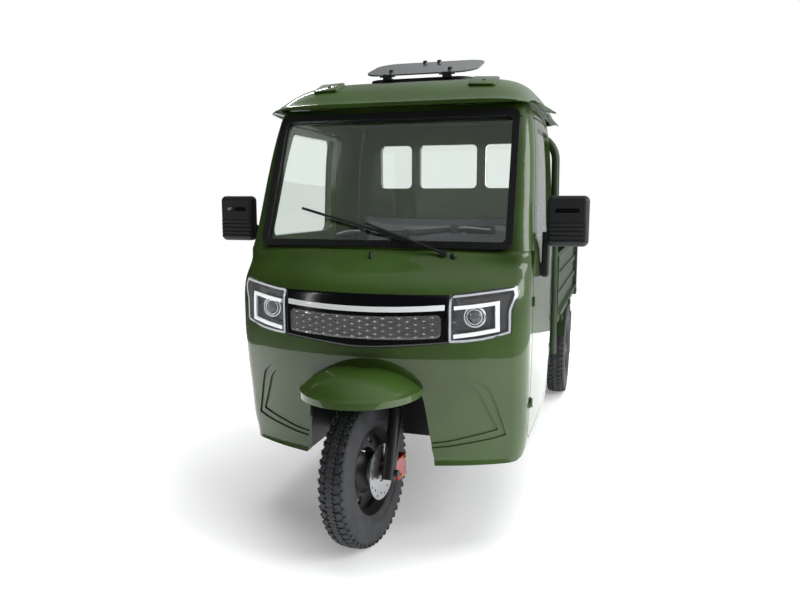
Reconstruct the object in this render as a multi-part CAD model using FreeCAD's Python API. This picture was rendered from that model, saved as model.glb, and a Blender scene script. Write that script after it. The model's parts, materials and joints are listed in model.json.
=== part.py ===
# Electric cargo tricycle: enclosed cab over a single steered front wheel, drop-side cargo bed
# over a live rear axle. Row frame in millimetres: -Y is forwards, +X is the vehicle's left,
# +Z up, origin on the ground in the middle of the overall length. One STEP file per piece.
import FreeCAD, Part
import math
import os

V = FreeCAD.Vector
os.makedirs("parts", exist_ok=True)

# ---------------------------------------------------------------- driving dimensions
fender_reach = 210.0        # front mudguard lip ahead of the grille plane
cab_length = 1280.0         # grille plane to the cab's rear wall
bed_gap = 60.0              # cab rear wall to bed headboard
bed_length = 1580.0
tail_reach = 30.0           # tailgate latches behind the bed floor
wheelbase = 2270.0
axle_behind_grille = 57.0

cab_half_width = 541.0
cab_bottom_z = 297.0
belt_z = 1034.0             # foot of the windscreen
cant_z = 1550.0             # top of the cab sides, foot of the roof panel
wall = 30.0                 # whole thickness of cab walls and doors
panel_gap = 5.0             # shut line round a moving panel
joint_gap = 0.3             # between fixed pieces that sit in one another
running_fit = 0.05          # radial, shafts in their bores
hub_bore = 12.0
stem_radius = 15.0

front_tyre_radius = 265.0
front_tyre_width = 98.0
rear_tyre_radius = 280.0
rear_tyre_width = 108.0
rim_bead_radius = 157.0
rear_half_track = 476.0
steer_at_rest = 7.0         # the wheel is parked turned this far to the vehicle's right
rake = 22.0                 # steering axis from vertical
fork_offset = 40.0          # axle ahead of the steering axis

glass_rise = 490.0          # windscreen height, measured vertically
glass_lean = 190.0          # how far its head lies behind its foot
glass_thick = 5.0
seal_width = 25.0
glass_corner = 32.0

bed_half_width = 540.0
bed_floor_z = 600.0
bed_floor_thick = 36.0
gate_height = 330.0
gate_thick = 25.0
post = 38.0                 # square and round posts that hold the gates

rail_x = 300.0
rail_width = 40.0
rail_depth = 60.0
front_rail_top_z = 400.0
rear_rail_top_z = bed_floor_z - bed_floor_thick - joint_gap

# ---------------------------------------------------------------- stations along Y
overall_length = fender_reach + cab_length + bed_gap + bed_length + tail_reach
nose_y = -overall_length / 2
grille_y = nose_y + fender_reach
cab_rear_y = grille_y + cab_length
bed_front_y = cab_rear_y + bed_gap
bed_rear_y = bed_front_y + bed_length
front_axle_y = grille_y + axle_behind_grille
rear_axle_y = front_axle_y + wheelbase
glass_foot_y = grille_y + 225.0
glass_head_y = glass_foot_y + glass_lean
door_front_y = grille_y + 260.0
door_rear_y = cab_rear_y - 270.0
rear_panel_y = cab_rear_y - 45.0


# ---------------------------------------------------------------- helpers
def box(x0, x1, y0, y1, z0, z1):
    return Part.makeBox(x1 - x0, y1 - y0, z1 - z0, V(x0, y0, z0))


def rod(start, end, radius):
    """A round bar between two points."""
    axis = end.sub(start)
    return Part.makeCylinder(radius, axis.Length, start, axis)


def both_sides(shape):
    """The shape and its mirror image in the vehicle's centre plane."""
    return Part.makeCompound([shape, shape.mirror(V(0, 0, 0), V(1, 0, 0))])


def mirrored(shape):
    return shape.mirror(V(0, 0, 0), V(1, 0, 0))


def fuse(shapes):
    whole = shapes[0].multiFuse(shapes[1:])
    return whole.removeSplitter()


def rounded_polygon(points, radii):
    """Closed wire through the corner points, each corner rounded to its radius."""
    count = len(points)
    edges = []
    starts, ends = [], []
    for i, corner in enumerate(points):
        before, after = points[i - 1], points[(i + 1) % count]
        radius = radii[i] if isinstance(radii, (list, tuple)) else radii
        a = before.sub(corner).normalize()
        b = after.sub(corner).normalize()
        half_turn = a.getAngle(b) / 2
        reach = radius / math.tan(half_turn) if radius > 0 else 0.0
        p, q = corner.add(a * reach), corner.add(b * reach)
        starts.append(p)
        ends.append(q)
        if radius > 0:
            centre = corner.add(a.add(b).normalize() * (radius / math.sin(half_turn)))
            middle = centre.add(corner.sub(centre).normalize() * radius)
            edges.append((i, Part.Arc(p, middle, q).toShape()))
    wire = []
    for i in range(count):
        wire += [edge for index, edge in edges if index == i]
        p, q = ends[i], starts[(i + 1) % count]
        if p.distanceToPoint(q) > 1e-6:
            wire.append(Part.makeLine(p, q))
    return Part.Wire(wire)


def plate(points, radii, thickness):
    """A flat plate: the rounded outline pushed along the vector."""
    return Part.Face(rounded_polygon(points, radii)).extrude(thickness)


def side_prism(outline, radii=0.0, x0=-700.0, x1=700.0):
    """A prism along X from (y, z) corners."""
    return plate([V(x0, y, z) for y, z in outline], radii, V(x1 - x0, 0, 0))


def front_prism(outline, radii=0.0, y0=-2000.0, y1=2000.0):
    """A prism along Y from (x, z) corners."""
    return plate([V(x, y0, z) for x, z in outline], radii, V(0, y1 - y0, 0))


def turned_ring(profile, centre, axis_turn=0.0):
    """A ring about the wheel axle from (across, radius) points; the axle is X turned about Z."""
    corners = [V(a, 0, r) for a, r in profile]
    face = Part.Face(Part.makePolygon(corners + [corners[0]]))
    ring = face.revolve(V(0, 0, 0), V(1, 0, 0), 360)
    ring.rotate(V(0, 0, 0), V(0, 0, 1), axis_turn)
    ring.translate(centre)
    return ring


def save(name, shape):
    solids = shape.Solids
    if not solids:
        raise RuntimeError(name + " has no solid")
    whole = solids[0] if len(solids) == 1 else Part.makeCompound(solids)
    whole.exportStep("parts/" + name + ".step")
    pieces[name] = whole


pieces = {}


# ---------------------------------------------------------------- cab body surfaces
def cab_section(z, front_y, bow_radius, half_width, corner, inset, rear_inset):
    """Plan outline of the cab at one height: bowed front, round corners, swelling sides."""
    yf = front_y + inset
    bow = bow_radius - inset
    w = half_width - inset
    rc = corner - min(inset, corner - 12.0)
    yr = cab_rear_y - rear_inset
    rr = 42.0 - min(inset, 30.0)
    w_rear = w - 24.0
    cy = yf + bow - math.sqrt((bow - rc) ** 2 - (w - rc) ** 2)
    cx = w - rc
    out = V(cx, cy - (yf + bow), 0).normalize()
    touch = V(out.x * bow, yf + bow + out.y * bow, 0)
    bisect = out.add(V(1, 0, 0)).normalize()
    turn = V(cx + bisect.x * rc, cy + bisect.y * rc, 0)
    side_mid = V(w + 7.0, (cy + yr - rr) / 2, 0)
    rear_turn = V(w_rear - rr + rr * 0.7071, yr - rr + rr * 0.7071, 0)
    half = [touch, turn, V(w, cy, 0), side_mid, V(w_rear, yr - rr, 0), rear_turn, V(w_rear - rr, yr, 0)]
    left = [V(p.x, p.y, z) for p in half]
    right = [V(-p.x, p.y, z) for p in half]
    edges = [
        Part.Arc(right[0], V(0, yf, z), left[0]).toShape(),
        Part.Arc(left[0], left[1], left[2]).toShape(),
        Part.Arc(left[2], left[3], left[4]).toShape(),
        Part.Arc(left[4], left[5], left[6]).toShape(),
        Part.makeLine(left[6], right[6]),
        Part.Arc(right[6], right[5], right[4]).toShape(),
        Part.Arc(right[4], right[3], right[2]).toShape(),
        Part.Arc(right[2], right[1], right[0]).toShape(),
    ]
    return Part.Wire(edges)


# height, front behind the grille plane, bow radius of the front, half width lost, corner radius
lower_body = [
    (cab_bottom_z, 52.0, 930.0, 25.0, 100.0),
    (360.0, 47.0, 930.0, 9.0, 108.0),
    (470.0, 30.0, 930.0, 3.0, 110.0),
    (600.0, 8.0, 930.0, 0.0, 110.0),
    (716.0, -4.0, 930.0, 0.0, 110.0),
    (810.0, -6.0, 930.0, 0.0, 110.0),
    (880.0, 0.0, 940.0, 0.0, 108.0),
    (920.0, 22.0, 980.0, 0.0, 104.0),
    (955.0, 68.0, 1100.0, 0.0, 98.0),
    (995.0, 142.0, 1800.0, 1.0, 84.0),
    (belt_z, 208.0, 6000.0, 3.0, 62.0),
]
upper_body = [
    (belt_z, 0.0, 3.0),
    (1150.0, 0.2245, 13.0),
    (1270.0, 0.4562, 18.0),
    (1390.0, 0.6880, 26.0),
    (1480.0, 0.8618, 37.0),
    (cant_z, 1.0, 52.0),
]


def lower_loft(inset, rear_inset=None):
    rear = inset if rear_inset is None else rear_inset
    wires = [
        cab_section(z, grille_y + dy, bow, cab_half_width - lost, corner, inset, rear)
        for z, dy, bow, lost, corner in lower_body
    ]
    return Part.makeLoft(wires, True, False)


def pillar_front_y(z):
    return grille_y + 208.0 + (z - belt_z) * glass_lean / glass_rise


def upper_loft(inset):
    wires = [
        cab_section(z, pillar_front_y(z), 6000.0, cab_half_width - lost, 62.0, inset, inset)
        for z, share, lost in upper_body
    ]
    return Part.makeLoft(wires, True, False)


lower_outer = lower_loft(0.0)
lower_inner = lower_loft(wall)
upper_outer = upper_loft(0.0)
upper_inner = upper_loft(wall)


def lower_skin(outside, inside):
    """Layer of the lower body between two depths below its surface."""
    return lower_loft(outside).cut(lower_loft(inside, inside))


# ---------------------------------------------------------------- windscreen plane
glass_tilt = math.degrees(math.atan2(glass_lean, glass_rise))
glass_length = math.hypot(glass_lean, glass_rise)


def on_glass(shape):
    """Carries a shape from the XZ plane (normal -Y) onto the raked windscreen plane."""
    placed = shape.copy()
    placed.rotate(V(0, 0, 0), V(1, 0, 0), -glass_tilt)
    placed.translate(V(0, glass_foot_y, belt_z))
    return placed


def glass_outline(inset, y0, y1):
    """A slab of the windscreen outline, set in by inset, between two depths (forward negative)."""
    foot, head = cab_half_width - 68.0 - inset, cab_half_width - 76.0 - inset
    corners = [(-foot, inset), (foot, inset), (head, glass_length - inset), (-head, glass_length - inset)]
    return on_glass(plate([V(x, y0, z) for x, z in corners], glass_corner - inset * 0.6, V(0, y1 - y0, 0)))


# ---------------------------------------------------------------- panel outlines seen from the side
def pillar_line_y(z):
    """Front edge of the door along the raked pillar."""
    return glass_foot_y + 75.0 + (z - belt_z) * glass_lean / glass_rise


door_top_z = cant_z - 45.0
sill_line = [
    (grille_y + 222.0, cab_bottom_z + 3.0),
    (grille_y + 610.0, cab_bottom_z + 45.0),
    (grille_y + 820.0, cab_bottom_z + 92.0),
    (grille_y + 1010.0, cab_bottom_z + 168.0),
    (cab_rear_y + 20.0, cab_bottom_z + 205.0),
]


def below_sill():
    """Everything under the rising lower edge of the cab sides."""
    curve = Part.BSplineCurve()
    curve.interpolate([V(-700, y, z) for y, z in sill_line])
    first, last = sill_line[0], sill_line[-1]
    edges = [
        curve.toShape(),
        Part.makeLine(V(-700, last[0], last[1]), V(-700, last[0], 100)),
        Part.makeLine(V(-700, last[0], 100), V(-700, first[0], 100)),
        Part.makeLine(V(-700, first[0], 100), V(-700, first[0], first[1])),
    ]
    return Part.Face(Part.Wire(edges)).extrude(V(1400, 0, 0))


def door_outline(grow):
    """Outline of the door aperture, grown outwards all round by grow."""
    g = grow
    return [
        (door_front_y - g, cab_bottom_z + 62.0 - g),
        (grille_y + 700.0, cab_bottom_z + 112.0 - g),
        (grille_y + 900.0 + 0.7 * g, cab_bottom_z + 260.0 - 0.7 * g),
        (door_rear_y + g, cab_bottom_z + 480.0),
        (door_rear_y + g, door_top_z + g),
        (pillar_line_y(door_top_z) - g, door_top_z + g),
        (pillar_line_y(belt_z + 6.0) - g, belt_z + 6.0),
        (door_front_y - g, belt_z - 74.0),
    ]


door_radii = [40.0, 180.0, 260.0, 120.0, 30.0, 24.0, 60.0, 60.0]
window_bottom_z = belt_z + 30.0
window_top_z = door_top_z - 32.0


def window_outline(grow):
    g = grow
    return [
        (pillar_line_y(window_bottom_z) + 62.0 - g, window_bottom_z - g),
        (door_rear_y - 58.0 + g, window_bottom_z - g),
        (door_rear_y - 58.0 + g, window_top_z + g),
        (pillar_line_y(window_top_z) + 62.0 - g, window_top_z + g),
    ]


def window_prism(grow, x0=0.0, x1=700.0):
    return side_prism(window_outline(grow), 28.0 + grow, x0, x1)


# ---------------------------------------------------------------- cab panels
seam_y = door_front_y - panel_gap
arch_half_foot = 242.0
arch_half_head = 206.0
arch_shoulder_z = 545.0
arch_top_z = 625.0


def arch_cut():
    """The front wheel opening, seen from the front."""
    outline = [
        (-arch_half_foot, cab_bottom_z - 20.0),
        (arch_half_foot, cab_bottom_z - 20.0),
        (arch_half_head, arch_shoulder_z),
        (150.0, arch_top_z),
        (-150.0, arch_top_z),
        (-arch_half_head, arch_shoulder_z),
    ]
    return front_prism(outline, [0, 0, 50.0, 60.0, 60.0, 50.0], grille_y - 300.0, grille_y + 300.0)


# the black band across the nose, and the lamps at its ends, seen from the front
band_half = 296.0
band_foot_z = 738.0
band_sag = 26.0
band_head_z = 899.0


def band_outline(grow):
    g = grow
    return [(-band_half - g, band_foot_z - g), (0.0, band_foot_z - band_sag - g), (band_half + g, band_foot_z - g),
            (band_half + g, band_head_z + g), (-band_half - g, band_head_z + g)]


def lamp_outline(grow):
    g = grow
    w = cab_half_width
    return [
        (band_half - g, band_foot_z - g),
        (w - 140.0, band_foot_z + 8.0 - g),
        (w - 50.0 + g, band_foot_z + 29.0 - g),
        (w - 52.0 + g, 844.0),
        (w - 32.0 + g, band_head_z),
        (w - 37.0 + g, band_head_z + 27.0 + g),
        (band_half - g, band_head_z + g),
    ]


lamp_depth_y = grille_y + 168.0


def lamp_prism(grow):
    radii = [4.0, 120.0, 12.0, 40.0, 8.0, 8.0, 4.0]
    return front_prism(lamp_outline(grow), radii, grille_y - 60.0, lamp_depth_y + grow)


def band_prism(grow):
    return front_prism(band_outline(grow), [4.0, 1200.0, 4.0, 4.0, 4.0], grille_y - 60.0, grille_y + 120.0)


scoop_depth = 10.0
scoop_outer = [(150.0, 609.0), (340.0, 613.0), (388.0, 610.0), (421.0, 578.0), (442.0, 518.0), (473.0, 404.0),
               (430.0, 392.0), (284.0, 366.0), (150.0, 352.0)]
scoop_inner = [(150.0, 592.0), (330.0, 597.0), (362.0, 594.0), (390.0, 564.0), (412.0, 508.0), (447.0, 424.0),
               (410.0, 414.0), (284.0, 384.0), (150.0, 366.0)]
scoop_radii = [0.0, 60.0, 40.0, 50.0, 80.0, 4.0, 60.0, 120.0, 0.0]


def bumper_scoop():
    """The scooped lower corner of the nose on the vehicle's left, stepped along its rim."""
    rim = front_prism(scoop_outer, scoop_radii, grille_y - 60.0, grille_y + 215.0)
    floor = front_prism(scoop_inner, scoop_radii, grille_y - 60.0, grille_y + 215.0)
    outside = lower_loft(-20.0)
    shallow = outside.cut(lower_loft(scoop_depth / 2)).common(rim)
    deep = outside.cut(lower_loft(scoop_depth)).common(floor)
    return [shallow, deep]


hood_dip = 4.0


def hood_recess():
    """Shallow tray in the hood under the windscreen."""
    y_edge = grille_y + 110.0
    outline = [V(-244.0, glass_foot_y, 940.0), (V(-150.0, y_edge, 940.0)), V(116.0, y_edge, 940.0), V(206.0, glass_foot_y, 940.0)]
    prism = plate(outline, [2.0, 30.0, 30.0, 2.0], V(0, 0, 160.0))
    return lower_loft(-20.0).cut(lower_loft(hood_dip)).common(prism)


def cab_front_panel():
    shell = lower_outer.cut(lower_inner)
    shell = shell.common(box(-700, 700, nose_y, seam_y, cab_bottom_z - 1, belt_z))
    shell = shell.cut(below_sill())
    for tool in bumper_scoop():
        shell = shell.cut(tool).cut(mirrored(tool))
    shell = shell.cut(hood_recess())
    lamp = lamp_prism(0.0)
    fixed, moving = door_hinge_halves()
    for z in hinge_heights:
        swept = rod(V(hinge_x, hinge_y, z), V(hinge_x, hinge_y, z + knuckle_height + 4.0), knuckle + 3.0)
        shell = shell.cut(swept).cut(mirrored(swept))
    shell = fuse([shell] + fixed + [mirrored(half) for half in fixed])
    cuts = [arch_cut(), band_prism(0.0), lamp, mirrored(lamp), glass_outline(0.0, -60.0, 60.0)]
    for cutter in cuts:
        shell = shell.cut(cutter)
    save("cab_front_panel", shell)


def windscreen_surround():
    shell = upper_outer.cut(upper_inner)
    region = side_prism([
        (grille_y, belt_z),
        (pillar_line_y(belt_z + 6.0) - panel_gap, belt_z),
        (pillar_line_y(belt_z + 6.0) - panel_gap, belt_z + 6.0),
        (pillar_line_y(door_top_z) - panel_gap, door_top_z),
        (pillar_line_y(door_top_z) - panel_gap, cant_z + 1),
        (grille_y, cant_z + 1),
    ])
    save("windscreen_surround", shell.common(region).cut(glass_outline(0.0, -80.0, 80.0)))


def windscreen():
    glass = glass_outline(12.0, -2.0, glass_thick - 2.0)
    save("windscreen", glass)
    ring = glass_outline(joint_gap, -19.0, 12.0).cut(glass_outline(seal_width, -40.0, 40.0))
    save("windscreen_seal", ring.cut(glass))


def side_frames():
    """Sill, rear door post and cant rail of each side."""
    lower = lower_outer.cut(lower_inner)
    lower = lower.common(box(0, 700, seam_y, rear_panel_y, cab_bottom_z - 1, belt_z)).cut(below_sill())
    upper = upper_outer.cut(upper_inner)
    upper = upper.common(side_prism([
        (pillar_line_y(belt_z + 6.0) - panel_gap, belt_z),
        (rear_panel_y, belt_z),
        (rear_panel_y, cant_z + 1),
        (pillar_line_y(door_top_z) - panel_gap, cant_z + 1),
        (pillar_line_y(door_top_z) - panel_gap, door_top_z),
    ], 0.0, 0.0, 700.0))
    aperture = side_prism(door_outline(panel_gap / 2), [r + panel_gap / 2 for r in door_radii], 0, 700)
    strip = box(0, 700, seam_y - 1, door_front_y, cab_bottom_z + 100.0, belt_z - 130.0)
    frame = fuse([lower.cut(aperture).cut(strip), upper.cut(aperture)])
    solids = [s for s in frame.Solids if s.Volume > 1e5]
    save("side_frames", both_sides(Part.makeCompound(solids)))


hinge_x = cab_half_width + 4.0
hinge_y = door_front_y - panel_gap / 2
hinge_heights = (500.0, 860.0)
knuckle = 5.0
knuckle_height = 16.0


def door_hinge_halves():
    """Knuckles of the left door: the lower ones on the nose panel, the upper ones on the door."""
    fixed, moving = [], []
    for z in hinge_heights:
        for y0, y1, z0, z1, group in (
            (hinge_y - 16.0, hinge_y - panel_gap / 2, z - knuckle_height, z, fixed),
            (hinge_y + panel_gap / 2, hinge_y + 16.0, z + joint_gap, z + knuckle_height, moving),
        ):
            leaf = box(hinge_x - 12.0, hinge_x - 1.0, y0, y1, z0, z1)
            leaf = leaf.fuse(Part.makeCylinder(knuckle, z1 - z0, V(hinge_x, hinge_y, z0), V(0, 0, 1)))
            group.append(leaf)
    return fixed, moving


def doors():
    lower = lower_outer.cut(lower_inner).common(box(0, 700, seam_y - 5, cab_rear_y, 0, belt_z))
    upper = upper_outer.cut(upper_inner).common(box(0, 700, seam_y - 5, cab_rear_y, belt_z, cant_z))
    leaf = fuse([lower, upper])
    leaf = leaf.common(side_prism(door_outline(-panel_gap / 2), door_radii, 0, 700))
    leaf = leaf.cut(window_prism(0.0))
    fixed, moving = door_hinge_halves()
    clearance = [rod(V(hinge_x, hinge_y, z - knuckle_height - 4.0), V(hinge_x, hinge_y, z), knuckle + 3.0)
                 for z in hinge_heights]
    for swept in clearance:
        leaf = leaf.cut(swept)
    leaf = fuse([leaf] + moving)
    save("door_left", leaf)
    save("door_right", mirrored(leaf))
    pane = upper_loft(12.0).cut(upper_loft(16.0)).common(window_prism(-joint_gap))
    save("door_glass_left", pane)
    save("door_glass_right", mirrored(pane))


rear_window_half = 346.0
rear_window_foot_z = 1262.0
rear_window_head_z = 1470.0


rear_bar_inner = 143.0
rear_bar_outer = 184.0


def rear_window_prisms(grow):
    """The three panes of the rear window, seen from the front."""
    lo, hi = rear_window_foot_z - grow, rear_window_head_z + grow
    spans = [(-rear_window_half, -rear_bar_outer), (-rear_bar_inner, rear_bar_inner), (rear_bar_outer, rear_window_half)]
    prisms = []
    for x0, x1 in spans:
        a, b = x0 - grow, x1 + grow
        prisms.append(front_prism([(a, lo), (b, lo), (b, hi), (a, hi)], 24.0 + grow, cab_rear_y - 80, cab_rear_y + 40))
    return prisms


def rear_panel():
    region = box(-700, 700, rear_panel_y, cab_rear_y + 20, cab_bottom_z, cant_z)
    lower = lower_outer.cut(lower_inner).common(region).cut(below_sill())
    upper = upper_outer.cut(upper_inner).common(region)
    panel = fuse([lower, upper])
    y0, y1 = cab_rear_y - 18.0, cab_rear_y - 14.0
    panes = []
    for prism in rear_window_prisms(0.0):
        panel = panel.cut(prism)
    for prism in rear_window_prisms(-joint_gap):
        panes.append(prism.common(box(-700, 700, y0, y1, 0, 2000)))
    save("rear_panel", panel)
    save("rear_window", Part.makeCompound(panes))


# ---------------------------------------------------------------- roof and hatch
roof_rise = 132.0
roof_lip_y = grille_y + 362.0
roof_rear_y = cab_rear_y + 28.0
# share along the roof, half width lost at the edge, share of the full rise
roof_stations = [
    (0.0, 54.0, 0.10), (0.03, 30.0, 0.20), (0.08, 18.0, 0.44), (0.14, 12.0, 0.68), (0.21, 9.0, 0.86),
    (0.32, 8.0, 0.96), (0.50, 8.0, 1.0), (0.70, 8.0, 0.99), (0.86, 8.0, 0.93), (0.94, 12.0, 0.78),
    (0.98, 20.0, 0.50), (1.0, 34.0, 0.22),
]
roof_half_width = cab_half_width - 28.0
hatch_y = grille_y + 700.0          # hinge line of the hatch
hatch_length = 280.0
hatch_half_width = 240.0
hatch_tilt = 19.0
hatch_pin_y = hatch_y - 12.0


def roof_section(y, half_width, rise, inset):
    w, h = half_width - inset, rise - inset
    z0 = cant_z
    points = []
    steps = 28
    for i in range(steps + 1):
        a = math.pi * i / steps
        c, s = math.cos(a), math.sin(a)
        x = -w * math.copysign(abs(c) ** 0.30, c)
        z = z0 + h * abs(s) ** 1.1
        valley = math.exp(-((abs(x) - 0.29 * w) / 42.0) ** 2)
        z -= 12.0 * valley * min(1.0, h / 100.0)
        points.append(V(x, y, max(z, z0)))
    points[0], points[-1] = V(-w, y, z0), V(w, y, z0)
    curve = Part.BSplineCurve()
    curve.interpolate(points)
    return Part.Wire([curve.toShape(), Part.makeLine(points[-1], points[0])])


def roof_solid(inset):
    wires = []
    for share, lost, rise_share in roof_stations:
        y = roof_lip_y + inset + share * (roof_rear_y - roof_lip_y - 2 * inset)
        rise = max(roof_rise * rise_share, inset + 6.0)
        wires.append(roof_section(y, roof_half_width - lost, rise, inset))
    return Part.makeLoft(wires, True, False)


roof_outer = roof_solid(0.0)


def hatch_plan(inset, z0, z1):
    w = hatch_half_width - inset
    y0, y1 = hatch_y + inset, hatch_y + hatch_length - inset
    corners = [V(-w, y0, z0), V(w, y0, z0), V(w, y1, z0), V(-w, y1, z0)]
    return plate(corners, 85.0 - inset, V(0, 0, z1 - z0))


def roof():
    shell = roof_outer.cut(roof_solid(14.0))
    shell = shell.cut(hatch_plan(44.0, cant_z + 20.0, cant_z + 400.0))
    gutter_y0, gutter_y1 = roof_lip_y + 70.0, roof_rear_y - 40.0
    x0 = roof_half_width - 16.0
    profile = [(x0 - 6.0, cant_z + 0.5), (x0 + 14.0, cant_z + 0.5), (x0 + 26.0, cant_z - 5.0),
               (x0 + 26.0, cant_z - 1.0), (x0 + 12.0, cant_z + 8.0), (x0 - 6.0, cant_z + 8.0)]
    gutter = front_prism(profile, 0.0, gutter_y0, gutter_y1)
    slope = 0.25
    ear_plan = [(x0 + 6.0, gutter_y0 + 4.0), (x0 + 34.0, gutter_y0 + 8.0), (x0 + 70.0, gutter_y0 + 236.0),
                (x0 + 58.0, gutter_y0 + 256.0), (x0 + 6.0, gutter_y0 + 256.0)]
    ear = plate([V(x, y, cant_z + 3.0 - (x - x0) * slope) for x, y in ear_plan], [1.0, 8.0, 30.0, 14.0, 1.0], V(0, 0, 3.5))
    gutter = gutter.fuse(ear)
    save("roof_panel", shell.fuse(gutter).fuse(mirrored(gutter)))


hatch_seat_z = cant_z + roof_rise + 22.0


def hatch():
    ring = hatch_plan(16.0, cant_z + 60.0, hatch_seat_z).cut(hatch_plan(44.0, cant_z, hatch_seat_z + 10))
    pin_y, pin_z = hatch_pin_y, hatch_seat_z + 9.0
    for x in (-126.0, 126.0):
        knuckle_half = rod(V(x - 18.0, pin_y, pin_z), V(x + 18.0, pin_y, pin_z), 6.0)
        foot = box(x - 18.0, x + 18.0, pin_y - 6.0, hatch_y + 22.0, hatch_seat_z - 8.0, hatch_seat_z)
        post_up = box(x - 18.0, x + 18.0, pin_y - 6.0, pin_y + 5.0, hatch_seat_z - 8.0, pin_z)
        ring = ring.fuse(knuckle_half).fuse(foot).fuse(post_up)
    save("roof_hatch_frame", ring.cut(roof_outer).removeSplitter())
    panel = hatch_plan(0.0, hatch_seat_z + 6.0, hatch_seat_z + 12.0)
    pads = [Part.makeCylinder(9.0, 5.0, V(x, hatch_y + dy, hatch_seat_z + 12.0), V(0, 0, 1))
            for x, dy in ((-126.0, 42.0), (126.0, 42.0), (-32.0, 248.0), (32.0, 248.0))]
    pin_z = hatch_seat_z + 9.0
    lugs = []
    for x in (-126.0, 126.0):
        for x0, x1 in ((x - 32.0, x - 18.0 - joint_gap), (x + 18.0 + joint_gap, x + 32.0)):
            lugs.append(rod(V(x0, hatch_pin_y, pin_z), V(x1, hatch_pin_y, pin_z), 6.0))
            lugs.append(box(x0, x1, hatch_pin_y, hatch_y + 40.0, hatch_seat_z + 6.0, hatch_seat_z + 14.0))
    lid = fuse([panel] + pads + lugs)
    lid.rotate(V(0, hatch_pin_y, pin_z), V(1, 0, 0), hatch_tilt)
    save("roof_hatch", lid)


# ---------------------------------------------------------------- nose pieces
def nose_pieces():
    band = lower_skin(2.0, 24.0).common(band_prism(-joint_gap))
    bar_outline = [(-282.0, 852.0), (0.0, 838.0), (282.0, 852.0), (282.0, 870.0), (0.0, 856.0), (-282.0, 870.0)]
    bar_prism = front_prism(bar_outline, 0.0, grille_y - 60.0, grille_y + 120.0)
    bar = lower_skin(-1.0, 8.0).common(bar_prism)
    mesh_outline = [(-270.0, 756.0), (0.0, 744.0), (270.0, 756.0), (270.0, 836.0), (0.0, 822.0), (-270.0, 836.0)]
    mesh_prism = front_prism(mesh_outline, [10.0, 0, 10.0, 10.0, 0, 10.0], grille_y - 60.0, grille_y + 120.0)
    insert = lower_skin(-3.0, 8.0).common(mesh_prism)
    save("grille_panel", band.fuse(bar).fuse(insert).removeSplitter())
    housing = lower_skin(6.0, 60.0).common(lamp_prism(-joint_gap)).cut(band_prism(0.0))
    lens = lower_skin(-4.0, 0.0).common(lamp_prism(-joint_gap)).cut(band_prism(0.0))
    save("headlamps", both_sides(housing))
    save("headlamp_lenses", both_sides(lens))


def front_fender():
    """Domed mudguard standing out of the wheel opening, with a flared lip."""
    lip_z, crown_z, half = 559.0, 644.0, 209.0
    stretch = (fender_reach + 22.0) / half
    outer = [(half, lip_z), (half, lip_z + 22.0), (half - 9.0, lip_z + 28.0)]
    profile_edges = [
        Part.makeLine(V(outer[0][0], 0, outer[0][1]), V(outer[1][0], 0, outer[1][1])),
        Part.makeLine(V(outer[1][0], 0, outer[1][1]), V(outer[2][0], 0, outer[2][1])),
        Part.Arc(V(outer[2][0], 0, outer[2][1]), V(half - 74.0, 0, crown_z - 13.0), V(0, 0, crown_z)).toShape(),
        Part.makeLine(V(0, 0, crown_z), V(0, 0, crown_z - 6.0)),
        Part.Arc(V(0, 0, crown_z - 6.0), V(half - 80.0, 0, crown_z - 20.0), V(half - 16.0, 0, lip_z + 22.0)).toShape(),
        Part.makeLine(V(half - 16.0, 0, lip_z + 22.0), V(half - 7.0, 0, lip_z + 16.0)),
        Part.makeLine(V(half - 7.0, 0, lip_z + 16.0), V(half - 7.0, 0, lip_z)),
        Part.makeLine(V(half - 7.0, 0, lip_z), V(half, 0, lip_z)),
    ]
    face = Part.Face(Part.Wire(profile_edges))
    dome = face.revolve(V(0, 0, 0), V(0, 0, 1), 360)
    scale = FreeCAD.Matrix()
    scale.A22 = stretch
    dome = dome.transformGeometry(scale)
    dome.translate(V(0, grille_y + 22.0, 0))
    dome = dome.cut(lower_loft(-joint_gap)).common(box(-400, 400, nose_y - 10, grille_y + 60.0, 0, 800))
    solids = sorted(dome.Solids, key=lambda s: s.Volume)
    save("front_fender", solids[-1])


well_top_z = 650.0
well_back_y = front_axle_y + front_tyre_radius + 62.0


def wheel_well():
    """Box-shaped liner over and behind the front wheel."""
    t = 6.0
    half = arch_half_foot
    front = grille_y + 92.0
    outer = box(-half - t, half + t, front, well_back_y + t, cab_bottom_z, well_top_z + t)
    inner = box(-half, half, front - 10, well_back_y, cab_bottom_z - 10, well_top_z)
    y, z = steer_point(well_top_z)
    hole = Part.makeCylinder(62.0, 200.0, V(0, y, well_top_z - 100), V(0, 0, 1))
    return outer.cut(inner).cut(hole).common(lower_loft(wall + joint_gap))


# ---------------------------------------------------------------- steering
rake_sin, rake_cos = math.sin(math.radians(rake)), math.cos(math.radians(rake))


def steer_point(z):
    """The steering axis at a height, as (y, z)."""
    foot_y = front_axle_y + fork_offset / rake_cos
    return foot_y + (z - front_tyre_radius) * rake_sin / rake_cos, z


def on_axis(z):
    y, z = steer_point(z)
    return V(0, y, z)


axis_up = V(0, rake_sin, rake_cos)


def steered(shape):
    """Turns a straight-ahead steering piece to its parked angle."""
    turned = shape.copy()
    turned.rotate(on_axis(front_tyre_radius), axis_up, -steer_at_rest)
    return turned


front_hub = V(0, front_axle_y, front_tyre_radius)
leg_x = 92.0
crown_z_axis = 575.0
head_foot_z = 655.0
head_top_z = 835.0
bar_z = 1052.0


forward = V(0, -rake_cos, rake_sin)


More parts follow.
